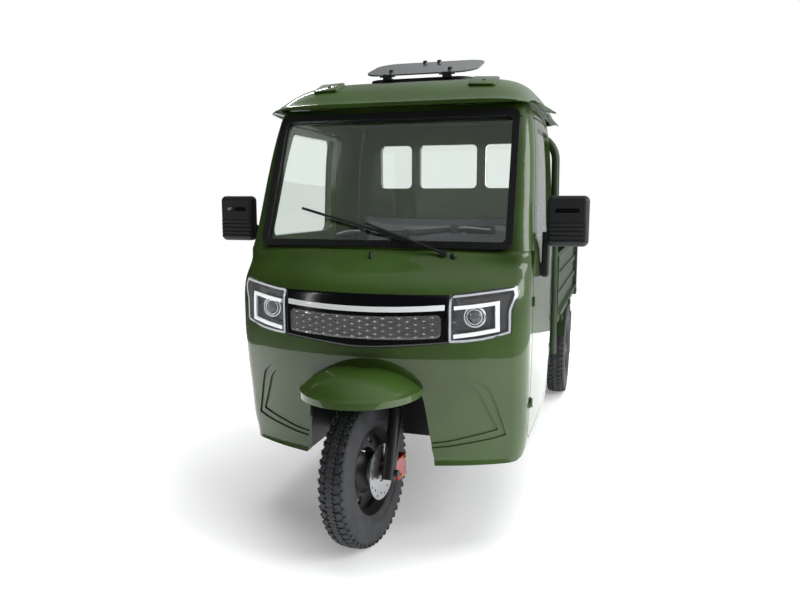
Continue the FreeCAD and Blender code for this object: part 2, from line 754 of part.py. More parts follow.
def fork_leg(side, grow=0.0):
    """One telescopic leg of the straight-ahead fork."""
    top = on_axis(crown_z_axis).add(V(side * leg_x, 0, 0)).add(forward * fork_offset)
    foot = V(side * leg_x, front_axle_y, front_tyre_radius)
    down = foot.sub(top).normalize()
    slider_top = top.add(down * 130.0)
    return rod(top, slider_top, 17.0 + grow).fuse(rod(slider_top, foot.add(down * 26.0), 24.0 + grow))


def steering():
    legs = [fork_leg(1), fork_leg(-1)]
    crown = fuse([
        rod(on_axis(crown_z_axis).add(V(-leg_x, 0, 0)).add(forward * fork_offset).add(axis_up * -18),
            on_axis(crown_z_axis).add(V(-leg_x, 0, 0)).add(forward * fork_offset).add(axis_up * 18), 28.0),
        rod(on_axis(crown_z_axis).add(V(leg_x, 0, 0)).add(forward * fork_offset).add(axis_up * -18),
            on_axis(crown_z_axis).add(V(leg_x, 0, 0)).add(forward * fork_offset).add(axis_up * 18), 28.0),
        plate([on_axis(crown_z_axis).add(axis_up * -18).add(V(x, 0, 0)).add(forward * d)
               for x, d in ((-leg_x, 62), (leg_x, 62), (leg_x, 20), (44, -34), (-44, -34), (-leg_x, 20))],
              6.0, axis_up * 36.0),
    ])
    fork = fuse([crown] + legs)
    axle = rod(V(-leg_x - 36, front_axle_y, front_tyre_radius), V(leg_x + 36, front_axle_y, front_tyre_radius),
               hub_bore - running_fit)
    stem = rod(on_axis(crown_z_axis), on_axis(bar_z - 0.5), stem_radius)
    nut = rod(on_axis(head_top_z + 6.0), on_axis(head_top_z + 30.0), 24.0)
    save("front_fork", steered(fuse([fork, axle, stem, nut])))
    handlebar()
    caliper()


def tube_path(points, radius, bend):
    """A bent round tube through the points, corners rounded to the bend radius."""
    edges = []
    here = points[0]
    for i in range(1, len(points) - 1):
        corner = points[i]
        a = points[i - 1].sub(corner).normalize()
        b = points[i + 1].sub(corner).normalize()
        half_turn = a.getAngle(b) / 2
        reach = bend / math.tan(half_turn)
        p, q = corner.add(a * reach), corner.add(b * reach)
        centre = corner.add(a.add(b).normalize() * (bend / math.sin(half_turn)))
        middle = centre.add(corner.sub(centre).normalize() * bend)
        edges += [Part.makeLine(here, p), Part.Arc(p, middle, q).toShape()]
        here = q
    edges.append(Part.makeLine(here, points[-1]))
    path = Part.Wire(edges)
    first = points[1].sub(points[0])
    ring = Part.Wire(Part.makeCircle(radius, points[0], first))
    return path.makePipeShell([ring], True, False)


def handlebar():
    hub = on_axis(bar_z)
    reach = [V(-330, 190, 22), V(-200, 150, 32), V(-80, 30, 26), V(80, 30, 26), V(200, 150, 32), V(330, 190, 22)]
    points = [hub.add(p) for p in reach]
    bar = tube_path(points, 11.0, 60.0)
    clamp = plate([hub.add(V(x, y, -2)) for x, y in ((-34, -24), (34, -24), (34, 48), (-34, 48))], 8.0, V(0, 0, 42))
    grips = []
    for a, b in ((reach[1], reach[0]), (reach[4], reach[5])):
        along = b.sub(a).normalize()
        grips.append(rod(hub.add(a).add(along * 30.0), hub.add(b).add(along * 6.0), 17.0))
    save("handlebar", steered(fuse([bar, clamp] + grips).cut(rod(on_axis(bar_z - 60), on_axis(bar_z - 0.2), stem_radius))))


disc_x = 62.0


def caliper():
    """Two-part brake caliper straddling the disc behind the left fork leg."""
    y, z = front_axle_y + 66.0, front_tyre_radius - 8.0
    body = box(disc_x - 16.0, disc_x + 42.0, y - 6.0, y + 62.0, z - 44.0, z + 40.0)
    slot = turned_ring([(disc_x - 5.0, 0.0), (disc_x + 5.0, 0.0), (disc_x + 5.0, 118.0), (disc_x - 5.0, 118.0)],
                       V(0, front_axle_y, front_tyre_radius))
    lug = box(leg_x - 6.0, leg_x + 12.0, front_axle_y + 10.0, y + 20.0, z - 10.0, z + 34.0)
    save("brake_caliper", steered(fuse([body.makeFillet(8.0, body.Edges), lug]).cut(slot).cut(fork_leg(1, joint_gap))))


def tyre_profile(radius, width, bead):
    """Half-round carcass as (across, radius) points round the section."""
    w = width / 2
    return [
        (-w * 0.70, bead), (-w * 0.86, bead + 12.0), (-w, bead + (radius - bead) * 0.48),
        (-w * 0.97, radius - (radius - bead) * 0.26), (-w * 0.80, radius - 13.0), (-w * 0.45, radius - 3.0),
        (0.0, radius),
        (w * 0.45, radius - 3.0), (w * 0.80, radius - 13.0), (w * 0.97, radius - (radius - bead) * 0.26),
        (w, bead + (radius - bead) * 0.48), (w * 0.86, bead + 12.0), (w * 0.70, bead),
    ]


def tyre(radius, width, bead):
    """Ring of rubber with a smooth spline section, axle along X at the origin."""
    points = [V(a, 0, r) for a, r in tyre_profile(radius, width, bead)]
    curve = Part.BSplineCurve()
    curve.interpolate(points)
    face = Part.Face(Part.Wire([curve.toShape(), Part.makeLine(points[-1], points[0])]))
    return face.revolve(V(0, 0, 0), V(1, 0, 0), 360)


def rim_profile(width, bead, hub_radius):
    """Pressed steel wheel: rim bed, flanges, dished disc and hub barrel."""
    w = width / 2 * 0.70
    t = 4.0
    return [
        (-w, bead - joint_gap), (-w - t, bead + 8.0), (-w - t, bead - joint_gap - t), (-w + 14.0, bead - 12.0 - t),
        (-18.0, bead - 20.0 - t), (-10.0, hub_radius + 30.0), (-26.0, hub_radius), (-30.0, hub_bore),
        (30.0, hub_bore), (26.0, hub_radius), (2.0, hub_radius + 22.0), (-4.0, bead - 24.0 - t), (10.0, bead - 20.0 - t),
        (w - 14.0, bead - 12.0 - t), (w + t, bead - joint_gap - t), (w + t, bead + 8.0), (w, bead - joint_gap),
        (w - 14.0, bead - 12.0), (-w + 14.0, bead - 12.0),
    ]


def front_wheel():
    """Tyre, pressed rim and brake disc on the steered hub."""
    body = tyre(front_tyre_radius, front_tyre_width, rim_bead_radius)
    rim = turned_ring(rim_profile(front_tyre_width, rim_bead_radius, 58.0), V(0, 0, 0))
    holes = []
    for i in range(6):
        a = math.radians(60 * i)
        c = V(0, 108.0 * math.cos(a), 108.0 * math.sin(a))
        holes.append(rod(c.add(V(-60, 0, 0)), c.add(V(60, 0, 0)), 15.0))
    for hole in holes:
        rim = rim.cut(hole)
    rim = rim.cut(body)
    disc = turned_ring([(disc_x - 2.0, 46.0), (disc_x + 2.0, 46.0), (disc_x + 2.0, 96.0), (disc_x - 2.0, 96.0)], V(0, 0, 0))
    carrier = turned_ring([(30.0, hub_bore), (disc_x - 2.0, hub_bore), (disc_x - 2.0, 34.0), (disc_x + 2.0, 34.0),
                           (disc_x + 2.0, 58.0), (disc_x - 2.0, 58.0), (disc_x - 6.0, 40.0), (30.0, 40.0)], V(0, 0, 0))
    disc = disc.fuse(carrier)
    for i in range(18):
        a = math.radians(20 * i)
        r = 74.0 if i % 2 else 84.0
        c = V(0, r * math.cos(a), r * math.sin(a))
        disc = disc.cut(rod(c.add(V(0, 0, 0)), c.add(V(90, 0, 0)), 4.0))
    for name, shape in (("front_tyre", body), ("front_rim", rim), ("front_brake_disc", disc)):
        placed = shape.copy()
        placed.translate(front_hub)
        save(name, steered(placed))


# ---------------------------------------------------------------- chassis and rear axle
def chassis():
    half = rail_width / 2
    kick_y0, kick_y1 = cab_rear_y, cab_rear_y + 150.0
    f0, f1 = front_rail_top_z - rail_depth, front_rail_top_z
    r0, r1 = rear_rail_top_z - rail_depth, rear_rail_top_z
    front_y, rear_y = well_back_y + 14.0, bed_rear_y - 30.0
    rail = side_prism([(front_y, f0), (kick_y0, f0), (kick_y1, r0), (rear_y, r0), (rear_y, r1),
                       (kick_y1 - 12.0, r1), (kick_y0 - 12.0, f1), (front_y, f1)], 0.0, rail_x - half, rail_x + half)
    parts = [rail, mirrored(rail)]
    inner = rail_x - half
    for y in (front_y + 20.0, front_y + 420.0, kick_y0 - 60.0):
        parts.append(box(-inner, inner, y - 20, y + 20, f0 + 10, f1))
    for y in (bed_front_y + 105.0, rear_axle_y - 430.0, rear_axle_y + 60.0, rear_y - 20.0):
        parts.append(box(-inner, inner, y - 20, y + 20, r0 + 10, r1))
    head = rod(on_axis(head_foot_z), on_axis(head_top_z), 30.0)
    neck = side_prism([(front_y, f0 + 10), (front_y + 60.0, f0 + 10), (front_y + 60.0, well_top_z + 40.0),
                       (steer_point(780.0)[0] + 20.0, 810.0), (steer_point(700.0)[0] + 20.0, 690.0),
                       (front_y, well_top_z + 10.0)], 0.0, -25.0, 25.0)
    parts += [head, neck]
    frame = fuse(parts)
    frame = frame.cut(rod(on_axis(head_foot_z - 10), on_axis(head_top_z + 10), stem_radius + running_fit))
    save("chassis_frame", frame)


axle_radius = 30.0


def rear_axle():
    reach = rear_half_track - 62.0
    drum = rear_half_track - 35.0
    stub = rear_half_track + 34.0
    pin = hub_bore - running_fit
    left_half = [(drum, 100.0), (drum, pin), (stub, pin)]
    profile = [(-stub, 0.0), (-stub, pin), (-drum, pin), (-drum, 100.0), (-reach, 100.0), (-reach, axle_radius),
               (-128.0, axle_radius), (-108.0, 76.0), (-70.0, 92.0), (-10.0, 92.0), (28.0, 76.0), (48.0, axle_radius),
               (reach, axle_radius), (reach, 100.0)] + left_half + [(stub, 0.0)]
    housing = turned_ring(profile, V(0, rear_axle_y, rear_tyre_radius))
    motor = rod(V(-20.0, rear_axle_y - 112.0, rear_tyre_radius + 16.0), V(230.0, rear_axle_y - 112.0, rear_tyre_radius + 16.0), 76.0)
    save("rear_axle", housing.fuse(motor))


spring_half = 400.0


def leaf_springs():
    """Three stacked leaves over the axle, hung from the rails by eye brackets."""
    width = 44.0
    top_z = rear_tyre_radius + axle_radius
    eye_z = rear_rail_top_z - rail_depth - 46.0
    x0 = rail_x - width / 2
    stack = []
    for i, half in enumerate((spring_half, 300.0, 200.0)):
        z = top_z + 8.0 + 9.0 * (2 - i)
        lift = (eye_z - top_z - 26.0) * (half / spring_half) ** 2
        a, b, c = V(x0, rear_axle_y - half, z + lift), V(x0, rear_axle_y, z), V(x0, rear_axle_y + half, z + lift)
        up = V(0, 0, 8.0)
        wire = Part.Wire([Part.Arc(a, b, c).toShape(), Part.makeLine(c, c.add(up)),
                          Part.Arc(c.add(up), b.add(up), a.add(up)).toShape(), Part.makeLine(a.add(up), a)])
        stack.append(Part.Face(wire).extrude(V(width, 0, 0)))
    saddle = box(x0 - 3, x0 + width + 3, rear_axle_y - 40, rear_axle_y + 40, top_z - 10.0, top_z + 36.0)
    saddle = saddle.cut(rod(V(0, rear_axle_y, rear_tyre_radius), V(600, rear_axle_y, rear_tyre_radius), axle_radius))
    hangers = []
    for y in (rear_axle_y - spring_half, rear_axle_y + spring_half):
        hangers.append(box(x0, x0 + width, y - 18.0, y + 18.0, eye_z - 16.0, rear_rail_top_z - rail_depth))
    save("leaf_springs", both_sides(fuse(stack + [saddle] + hangers)))


def rear_wheels():
    body = tyre(rear_tyre_radius, rear_tyre_width, rim_bead_radius)
    rim = turned_ring(rim_profile(rear_tyre_width, rim_bead_radius, 62.0), V(0, 0, 0))
    for i in range(8):
        a = math.radians(45 * i)
        c = V(0, 112.0 * math.cos(a), 112.0 * math.sin(a))
        rim = rim.cut(rod(c.add(V(-60, 0, 0)), c.add(V(60, 0, 0)), 13.0))
    rim = rim.cut(body)
    cap = turned_ring([(26.0, 0.0), (44.0, 0.0), (44.0, 24.0), (26.0, 34.0)], V(0, 0, 0))
    rim = rim.fuse(cap.cut(rod(V(0, 0, 0), V(35.0, 0, 0), hub_bore))).removeSplitter()
    for name, shape in (("rear_tyre", body), ("rear_rim", rim)):
        placed = shape.copy()
        placed.translate(V(rear_half_track, rear_axle_y, rear_tyre_radius))
        save(name + "_left", placed)
        save(name + "_right", mirrored(placed))


def rear_fender():
    """Thin arched guard under the bed, over the left rear wheel."""
    r0 = rear_tyre_radius + 12.0
    x0, x1 = rear_half_track - rear_tyre_width / 2 - 14.0, rear_half_track + rear_tyre_width / 2 - 4.0
    ring = rod(V(x0, rear_axle_y, rear_tyre_radius), V(x1, rear_axle_y, rear_tyre_radius), r0 + 4.0)
    ring = ring.cut(rod(V(x0 - 5, rear_axle_y, rear_tyre_radius), V(x1 + 5, rear_axle_y, rear_tyre_radius), r0))
    top = bed_floor_z - bed_floor_thick
    return ring.common(box(x0, x1, rear_axle_y - 400, rear_axle_y + 400, rear_tyre_radius + 120.0, top + 2.0))


# ---------------------------------------------------------------- cargo bed
side_gate_y0 = bed_front_y + panel_gap
side_gate_y1 = bed_rear_y - gate_thick - post - 2 * panel_gap
gate_pin = 6.0
gate_pin_out = bed_half_width + 7.0
gate_pin_z = bed_floor_z - 2.0
gate_foot_z = bed_floor_z + 2.0
side_hinge_places = [side_gate_y0 + 160.0, (side_gate_y0 + side_gate_y1) / 2, side_gate_y1 - 160.0]
tail_pin_y = bed_rear_y + 7.0
tail_hinge_places = [-360.0, 0.0, 360.0]


def gate_hinge(y):
    """Fixed and moving knuckles of a left side gate hinge."""
    reach = bed_half_width - gate_thick - panel_gap
    fixed = rod(V(gate_pin_out, y - 15, gate_pin_z), V(gate_pin_out, y + 15, gate_pin_z), gate_pin)
    fixed = fixed.fuse(box(reach - 6, gate_pin_out, y - 15, y + 15, gate_pin_z - 12, gate_pin_z - 4))
    moving = []
    for y0, y1 in ((y - 30, y - 15 - joint_gap), (y + 15 + joint_gap, y + 30)):
        moving.append(rod(V(gate_pin_out, y0, gate_pin_z), V(gate_pin_out, y1, gate_pin_z), gate_pin))
        moving.append(box(bed_half_width - 3, gate_pin_out + 4, y0, y1, gate_foot_z, gate_foot_z + 16))
    return fixed, moving


def tail_hinge(x):
    """Fixed and moving knuckles of a tailgate hinge."""
    reach = bed_rear_y - gate_thick - panel_gap
    fixed = rod(V(x - 15, tail_pin_y, gate_pin_z), V(x + 15, tail_pin_y, gate_pin_z), gate_pin)
    fixed = fixed.fuse(box(x - 15, x + 15, reach - 30, tail_pin_y, gate_pin_z - 12, gate_pin_z - 4))
    fixed = fixed.fuse(box(x - 15, x + 15, reach - 30, reach, gate_pin_z - 12, bed_floor_z - 5))
    moving = []
    for x0, x1 in ((x - 30, x - 15 - joint_gap), (x + 15 + joint_gap, x + 30)):
        moving.append(rod(V(x0, tail_pin_y, gate_pin_z), V(x1, tail_pin_y, gate_pin_z), gate_pin))
        moving.append(box(x0, x1, bed_rear_y - 3, tail_pin_y + 4, gate_foot_z, gate_foot_z + 16))
    return fixed, moving


def cargo_bed():
    w = bed_half_width - gate_thick - panel_gap
    under = bed_floor_z - bed_floor_thick
    slab = box(-w, w, bed_front_y, bed_rear_y - gate_thick - panel_gap, bed_floor_z - 6.0, bed_floor_z)
    ribs = [box(-w, w, y - 20, y + 20, under, bed_floor_z - 6.0)
            for y in [bed_front_y + 40 + i * (bed_length - 130) / 5 for i in range(6)]]
    sills = [box(s * (w - 20) if s > 0 else -w, w if s > 0 else -(w - 20), bed_front_y,
                 bed_rear_y - gate_thick - panel_gap, under - 10.0, bed_floor_z - 6.0) for s in (1, -1)]
    floor = fuse([slab] + ribs + sills)
    cut_wheels = rear_axle_y
    arches = [rod(V(s * (rear_half_track - 90), cut_wheels, rear_tyre_radius), V(s * 700, cut_wheels, rear_tyre_radius),
                  rear_tyre_radius + 8.0) for s in (1, -1)]
    for arch in arches:
        floor = floor.cut(arch)
    x0, x1 = bed_half_width - post, bed_half_width
    y0, y1 = bed_rear_y - gate_thick - 5.0 - post, bed_rear_y - gate_thick - 5.0
    stake = box(x0, x1, y0, y1, bed_floor_z - 46.0, bed_floor_z + gate_height)
    guard = rear_fender()
    fixed = [gate_hinge(y)[0] for y in side_hinge_places]
    fixed += [mirrored(half) for half in fixed] + [tail_hinge(x)[0] for x in tail_hinge_places]
    save("cargo_floor", fuse([floor, stake, mirrored(stake), guard, mirrored(guard)] + fixed))


guard_top_z = 1512.0


def headboard():
    """Front board of the bed with its bent tube guard."""
    y0 = bed_front_y - post
    top = bed_floor_z + gate_height
    x1 = bed_half_width
    radius = post / 2
    yc = y0 + radius
    board = box(-(x1 - radius - 6), x1 - radius - 6, yc - 2, yc + 2, bed_floor_z - 40, top)
    points = [V(-(x1 - radius), yc, 452.0), V(-(x1 - radius - 12.0), yc, guard_top_z),
              V(x1 - radius - 12.0, yc, guard_top_z), V(x1 - radius, yc, 452.0)]
    hoop = tube_path(points, radius, 120.0)
    rails = [rod(V(-(x1 - radius), yc, z), V(x1 - radius, yc, z), 12.0) for z in (top + 8.0, top + 250.0)]
    foot = box(-(x1 - radius), x1 - radius, y0 + 4, bed_front_y, bed_floor_z - bed_floor_thick - 8.0, bed_floor_z - 4.0)
    save("cargo_headboard", fuse([board, hoop, foot] + rails))


def gate_panel(length, along_x):
    """A pressed drop-side: flat sheet with a folded rim and three stiffening ribs, hinged at its foot."""
    t = gate_thick
    if along_x:
        sheet = box(-length / 2, length / 2, 0, 3.0, 0, gate_height)
        rims = [box(-length / 2, length / 2, -t + 3, 3, z, z + 26.0) for z in (0, gate_height - 26.0)]
        rims += [box(x, x + 26.0, -t + 3, 3, 0, gate_height) for x in (-length / 2, length / 2 - 26.0)]
        ribs = [box(-length / 2 + 20, length / 2 - 20, -10.0, 3, z, z + 30.0) for z in (96.0, 200.0)]
    else:
        sheet = box(0, 3.0, -length / 2, length / 2, 0, gate_height)
        rims = [box(0, t, -length / 2, length / 2, z, z + 26.0) for z in (0, gate_height - 26.0)]
        rims += [box(0, t, y, y + 26.0, 0, gate_height) for y in (-length / 2, length / 2 - 26.0)]
        ribs = [box(0, 13.0, -length / 2 + 20, length / 2 - 20, z, z + 30.0) for z in (96.0, 200.0)]
    return fuse([sheet] + rims + ribs)


def gates():
    length = side_gate_y1 - side_gate_y0
    side = gate_panel(length, False)
    side.translate(V(bed_half_width - gate_thick, (side_gate_y0 + side_gate_y1) / 2, gate_foot_z))
    side = fuse([side] + [half for y in side_hinge_places for half in gate_hinge(y)[1]])
    save("side_gate_left", side)
    save("side_gate_right", mirrored(side))
    width = 2 * (bed_half_width - 6.0)
    tail = gate_panel(width, True)
    tail = tail.mirror(V(0, 0, 0), V(0, 1, 0))
    tail.translate(V(0, bed_rear_y - gate_thick + 3.0, gate_foot_z))
    latches = [box(s * 430 - 22, s * 430 + 22, bed_rear_y - 16, bed_rear_y + tail_reach, gate_foot_z + 204, gate_foot_z + 226)
               for s in (-1, 1)]
    knuckles = [half for x in tail_hinge_places for half in tail_hinge(x)[1]]
    save("tailgate", fuse([tail] + latches + knuckles))


# ---------------------------------------------------------------- interior
seat_y0 = cab_rear_y - 450.0
seat_back_y = cab_rear_y - wall - 6.0
seat_half = 455.0
seat_base_top_z = 735.0
floor_z = front_rail_top_z + 6.0


def interior():
    y0 = well_back_y + 8.0
    deck = box(-495, 495, y0, seat_y0 + 10, front_rail_top_z, floor_z)
    rear_deck = box(-495, 495, seat_y0 + 10, cab_rear_y - wall - 1, cab_bottom_z + 208.0, cab_bottom_z + 214.0)
    riser = box(-495, 495, seat_y0 + 4, seat_y0 + 10, front_rail_top_z, cab_bottom_z + 214.0)
    wings = box(-530, 530, door_rear_y + 20.0, cab_rear_y - 10, cab_bottom_z + 208.0, cab_bottom_z + 214.0)
    floor = fuse([deck, rear_deck, riser, wings]).common(lower_loft(wall + joint_gap))
    base = box(-470, 470, seat_y0 + 12, cab_rear_y - wall - 8, cab_bottom_z + 210.0, seat_base_top_z)
    base = base.common(lower_loft(wall + joint_gap))
    pedal = fuse([box(116, 134, well_back_y + 30, well_back_y + 40, floor_z - 2, floor_z + 110),
                  box(95, 155, well_back_y + 38, well_back_y + 50, floor_z + 90, floor_z + 140)])
    neck_slot = box(-25.0 - joint_gap, 25.0 + joint_gap, y0 - 10, y0 + 70.0, front_rail_top_z - 5, floor_z + 5)
    save("cab_floor", fuse([floor.cut(neck_slot), base, wheel_well(), pedal]))
    cushion = box(-seat_half, seat_half, seat_y0 - 10, seat_back_y - 88.0 - joint_gap, seat_base_top_z, seat_base_top_z + 105.0)
    save("seat_cushion", cushion.makeFillet(24.0, cushion.Edges))
    back = box(-seat_half + 12, seat_half - 12, seat_back_y - 88.0, seat_back_y, seat_base_top_z, 1152.0)
    save("seat_back", back.makeFillet(24.0, back.Edges))
    dash = side_prism([(grille_y + 150.0, 880.0), (grille_y + 320.0, 880.0), (grille_y + 330.0, 1000.0),
                       (grille_y + 262.0, 1022.0), (grille_y + 238.0, 1022.0)], 6.0, -480.0, 480.0)
    dash = dash.common(lower_loft(wall + joint_gap)).cut(glass_outline(-20.0, -30.0, 14.0))
    lamp_room = lamp_prism(2.0)
    dash = dash.cut(lamp_room).cut(mirrored(lamp_room))
    meter = side_prism([(grille_y + 268.0, 1002.0), (grille_y + 326.0, 1002.0), (grille_y + 332.0, 1034.0),
                        (grille_y + 290.0, 1046.0)], 5.0, -84.0, 84.0)
    save("dashboard", fuse([dash, meter]))
    half = rail_x + rail_width / 2
    pack = box(-half, half, bed_front_y + 120, rear_axle_y - 480, 285.0, rear_rail_top_z - rail_depth - joint_gap)
    save("battery_pack", pack)


# ---------------------------------------------------------------- outside fittings
mirror_z = 1134.0
mirror_y = grille_y + 356.0


def mirrors():
    """Tall door mirror on a post, vehicle's left."""
    skin_x = cab_half_width + 6.0
    housing = box(572.0, 716.0, mirror_y - 26.0, mirror_y + 26.0, mirror_z - 88.0, mirror_z + 88.0)
    housing = housing.makeFillet(20.0, housing.Edges)
    foot_y = mirror_y + 70.0
    stem = box(skin_x + 4.0, skin_x + 30.0, foot_y - 24.0, foot_y + 24.0, 930.0, 1064.0)
    stem = stem.makeFillet(8.0, stem.Edges)
    arm = rod(V(skin_x + 18.0, foot_y, 1060.0), V(590.0, mirror_y + 10.0, mirror_z - 30.0), 15.0)
    pivot = rod(V(skin_x + 17.0, foot_y, 1040.0), V(skin_x + 17.0, foot_y, 1092.0), 14.0)
    link = rod(V(skin_x + 17.0, foot_y, 1078.0), V(600.0, mirror_y + 8.0, 1092.0), 12.0)
    pad = box(skin_x - 20.0, skin_x + 8.0, foot_y - 30.0, foot_y + 30.0, 936.0, 980.0)
    whole = fuse([housing, stem, arm, pivot, link, pad]).cut(lower_outer).cut(upper_outer)
    save("mirror_left", whole)
    save("mirror_right", mirrored(whole))


def wiper():
    """Windscreen wiper parked across the glass: spindle, arm and blade."""
    def on(x, v, out):
        return V(x, glass_foot_y + v * math.sin(math.radians(glass_tilt)) - out * math.cos(math.radians(glass_tilt)),
                 belt_z + v * math.cos(math.radians(glass_tilt)) + out * math.sin(math.radians(glass_tilt)))
    spindle = rod(on(238.0, -22.0, -6.0), on(238.0, -22.0, 40.0), 13.0)
    arm = rod(on(238.0, -22.0, 36.0), on(-60.0, 84.0, 31.0), 5.0)
    blade = rod(on(120.0, 20.0, 27.0), on(-318.0, 142.0, 27.0), 5.0)
    whole = fuse([spindle, arm, blade]).cut(lower_outer)
    solids = sorted(whole.Solids, key=lambda s: s.Volume)
    save("wiper", solids[-1])


def tail_pieces():
    y1 = bed_rear_y - 30.0
    bar = box(-430.0, 430.0, y1 - 40.0, y1, rear_rail_top_z - rail_depth - 60.0, rear_rail_top_z - rail_depth - joint_gap)
    save("rear_bumper", bar)
    lamps = box(330.0, 425.0, y1, y1 + 22.0, rear_rail_top_z - rail_depth - 56.0, rear_rail_top_z - rail_depth - 6.0)
    save("tail_lamps", both_sides(lamps))


if __name__ == "__main__":
    cab_front_panel()
    windscreen_surround()
    windscreen()
    side_frames()
    doors()
    rear_panel()
    roof()
    hatch()
    nose_pieces()
    front_fender()
    steering()
    front_wheel()
    chassis()
    rear_axle()
    leaf_springs()
    rear_wheels()
    cargo_bed()
    headboard()
    gates()
    interior()
    mirrors()
    wiper()
    tail_pieces()
    for name in sorted(pieces):
        shape = pieces[name]
        if not shape.isValid():
            print("not valid:", name)
    print(len(pieces), "pieces")
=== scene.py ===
import json
import math
import bpy
from mathutils import Matrix, Vector
from mathutils.bvhtree import BVHTree


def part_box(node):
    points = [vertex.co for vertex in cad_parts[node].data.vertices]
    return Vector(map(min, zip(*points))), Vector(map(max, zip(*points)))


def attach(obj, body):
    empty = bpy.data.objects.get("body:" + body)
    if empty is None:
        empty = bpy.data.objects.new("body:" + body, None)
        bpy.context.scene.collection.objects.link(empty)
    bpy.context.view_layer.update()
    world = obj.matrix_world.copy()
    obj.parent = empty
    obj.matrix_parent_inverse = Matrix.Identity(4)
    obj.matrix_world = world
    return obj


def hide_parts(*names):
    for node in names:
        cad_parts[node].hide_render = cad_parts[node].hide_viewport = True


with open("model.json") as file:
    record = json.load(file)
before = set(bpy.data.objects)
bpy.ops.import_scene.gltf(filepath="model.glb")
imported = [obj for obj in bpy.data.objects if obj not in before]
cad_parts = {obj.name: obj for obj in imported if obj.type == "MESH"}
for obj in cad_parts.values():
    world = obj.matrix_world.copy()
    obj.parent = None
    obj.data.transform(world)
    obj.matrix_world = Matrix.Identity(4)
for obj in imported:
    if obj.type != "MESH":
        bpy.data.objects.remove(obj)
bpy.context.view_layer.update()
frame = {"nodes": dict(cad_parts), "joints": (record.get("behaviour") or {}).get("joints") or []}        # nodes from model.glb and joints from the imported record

nodes = frame["nodes"]
joints = {joint["name"]: joint for joint in frame["joints"]}
mm = 0.001

steerAxis = Vector(joints["steering"]["axis"])
steerPivot = Vector(joints["steering"]["pos_m"])
parkedTurn = math.radians(-7.0)      # the wheel stands turned to the vehicle's right
steerMatrix = Matrix.Translation(steerPivot) @ Matrix.Rotation(parkedTurn, 4,
                                                               steerAxis) @ Matrix.Translation(-steerPivot)
frontHub = steerMatrix.inverted() @ Vector(joints["front_wheel_spin"]["pos_m"])
rearHub = Vector(joints["rear_wheel_left_spin"]["pos_m"])


# small helpers

def hexColour(code):
    parts = [int(code[i:i + 2], 16) / 255 for i in (1, 3, 5)]
    return tuple(c / 12.92 if c <= 0.04045 else ((c + 0.055) / 1.055) ** 2.4 for c in parts) + (1.0,)


def addNode(material, kind, settings=None, links=None):
    node = material.node_tree.nodes.new(kind)
    for key, value in (settings or {}).items():
        if key in node.inputs:
            node.inputs[key].default_value = value
        else:
            setattr(node, key, value)
    for socket, source in (links or {}).items():
        material.node_tree.links.new(source, node.inputs[socket])
    return node


def newMaterial(name):
    material = bpy.data.materials.new(name)
    material.use_nodes = True
    material.node_tree.nodes.clear()
    return material


def surfaceFrom(material, settings, links=None):
    shader = addNode(material, "ShaderNodeBsdfPrincipled", settings, links)
    addNode(material, "ShaderNodeOutputMaterial", links={"Surface": shader.outputs["BSDF"]})
    return material


def objectNoise(material, sizeMm, detail=3.0, stretch=(1, 1, 1), roughness=0.5):
    place = addNode(material, "ShaderNodeTexCoord")
    spread = addNode(material, "ShaderNodeMapping", {"Scale": [s / (sizeMm * mm) for s in stretch]},
                     {"Vector": place.outputs["Object"]})
    return addNode(material, "ShaderNodeTexNoise", {"Scale": 1.0, "Detail": detail, "Roughness": roughness},
                   {"Vector": spread.outputs["Vector"]})


def twoTone(material, noise, dark, light, low=0.35, high=0.65):
    ramp = addNode(material, "ShaderNodeValToRGB", links={"Fac": noise.outputs["Fac"]})
    ramp.color_ramp.elements[0].position = low
    ramp.color_ramp.elements[0].color = hexColour(dark)
    ramp.color_ramp.elements[1].position = high
    ramp.color_ramp.elements[1].color = hexColour(light)
    return ramp.outputs["Color"]


def valueRange(material, noise, low, high):
    spread = addNode(material, "ShaderNodeMapRange", {"To Min": low, "To Max": high},
                     {"Value": noise.outputs["Fac"]})
    return spread.outputs["Result"]


def bumpFrom(material, noise, depthMm, strength):
    bump = addNode(material, "ShaderNodeBump", {"Distance": depthMm * mm, "Strength": strength},
                   {"Height": noise.outputs["Fac"]})
    return bump.outputs["Normal"]


# materials

def glossOlivePaint():     # two-pack enamel sprayed on pressed steel: faint orange peel under a wet gloss
    m = newMaterial("glossOlivePaint")
    peel = objectNoise(m, 6.0, 2.0)
    cloud = objectNoise(m, 220.0, 2.0)
    return surfaceFrom(m, {"Roughness": 0.4, "Coat Weight": 1.0, "Coat Roughness": 0.02, "Coat IOR": 1.36,
                           "IOR": 1.33},
                       {"Base Color": twoTone(m, cloud, "#33491a", "#38511d"),
                        "Normal": bumpFrom(m, peel, 0.2, 0.02)})


def glossBedPaint():       # darker enamel on the bed, with dust in the corners
    m = newMaterial("glossBedPaint")
    peel = objectNoise(m, 8.0, 2.0)
    cloud = objectNoise(m, 160.0, 4.0)
    return surfaceFrom(m, {"Coat Weight": 0.25, "Coat Roughness": 0.3, "IOR": 1.4},
                       {"Base Color": twoTone(m, cloud, "#1f3016", "#263a19"),
                        "Roughness": valueRange(m, cloud, 0.42, 0.6),
                        "Normal": bumpFrom(m, peel, 0.3, 0.05)})


def blackPowderCoat():     # satin powder coat, slightly pebbled
    m = newMaterial("blackPowderCoat")
    pebble = objectNoise(m, 1.6, 3.0)
    return surfaceFrom(m, {"IOR": 1.5}, {"Base Color": twoTone(m, pebble, "#121214", "#1b1b1d"),
                       "Roughness": valueRange(m, pebble, 0.32, 0.48),
                                         "Normal": bumpFrom(m, pebble, 0.15, 0.15)})


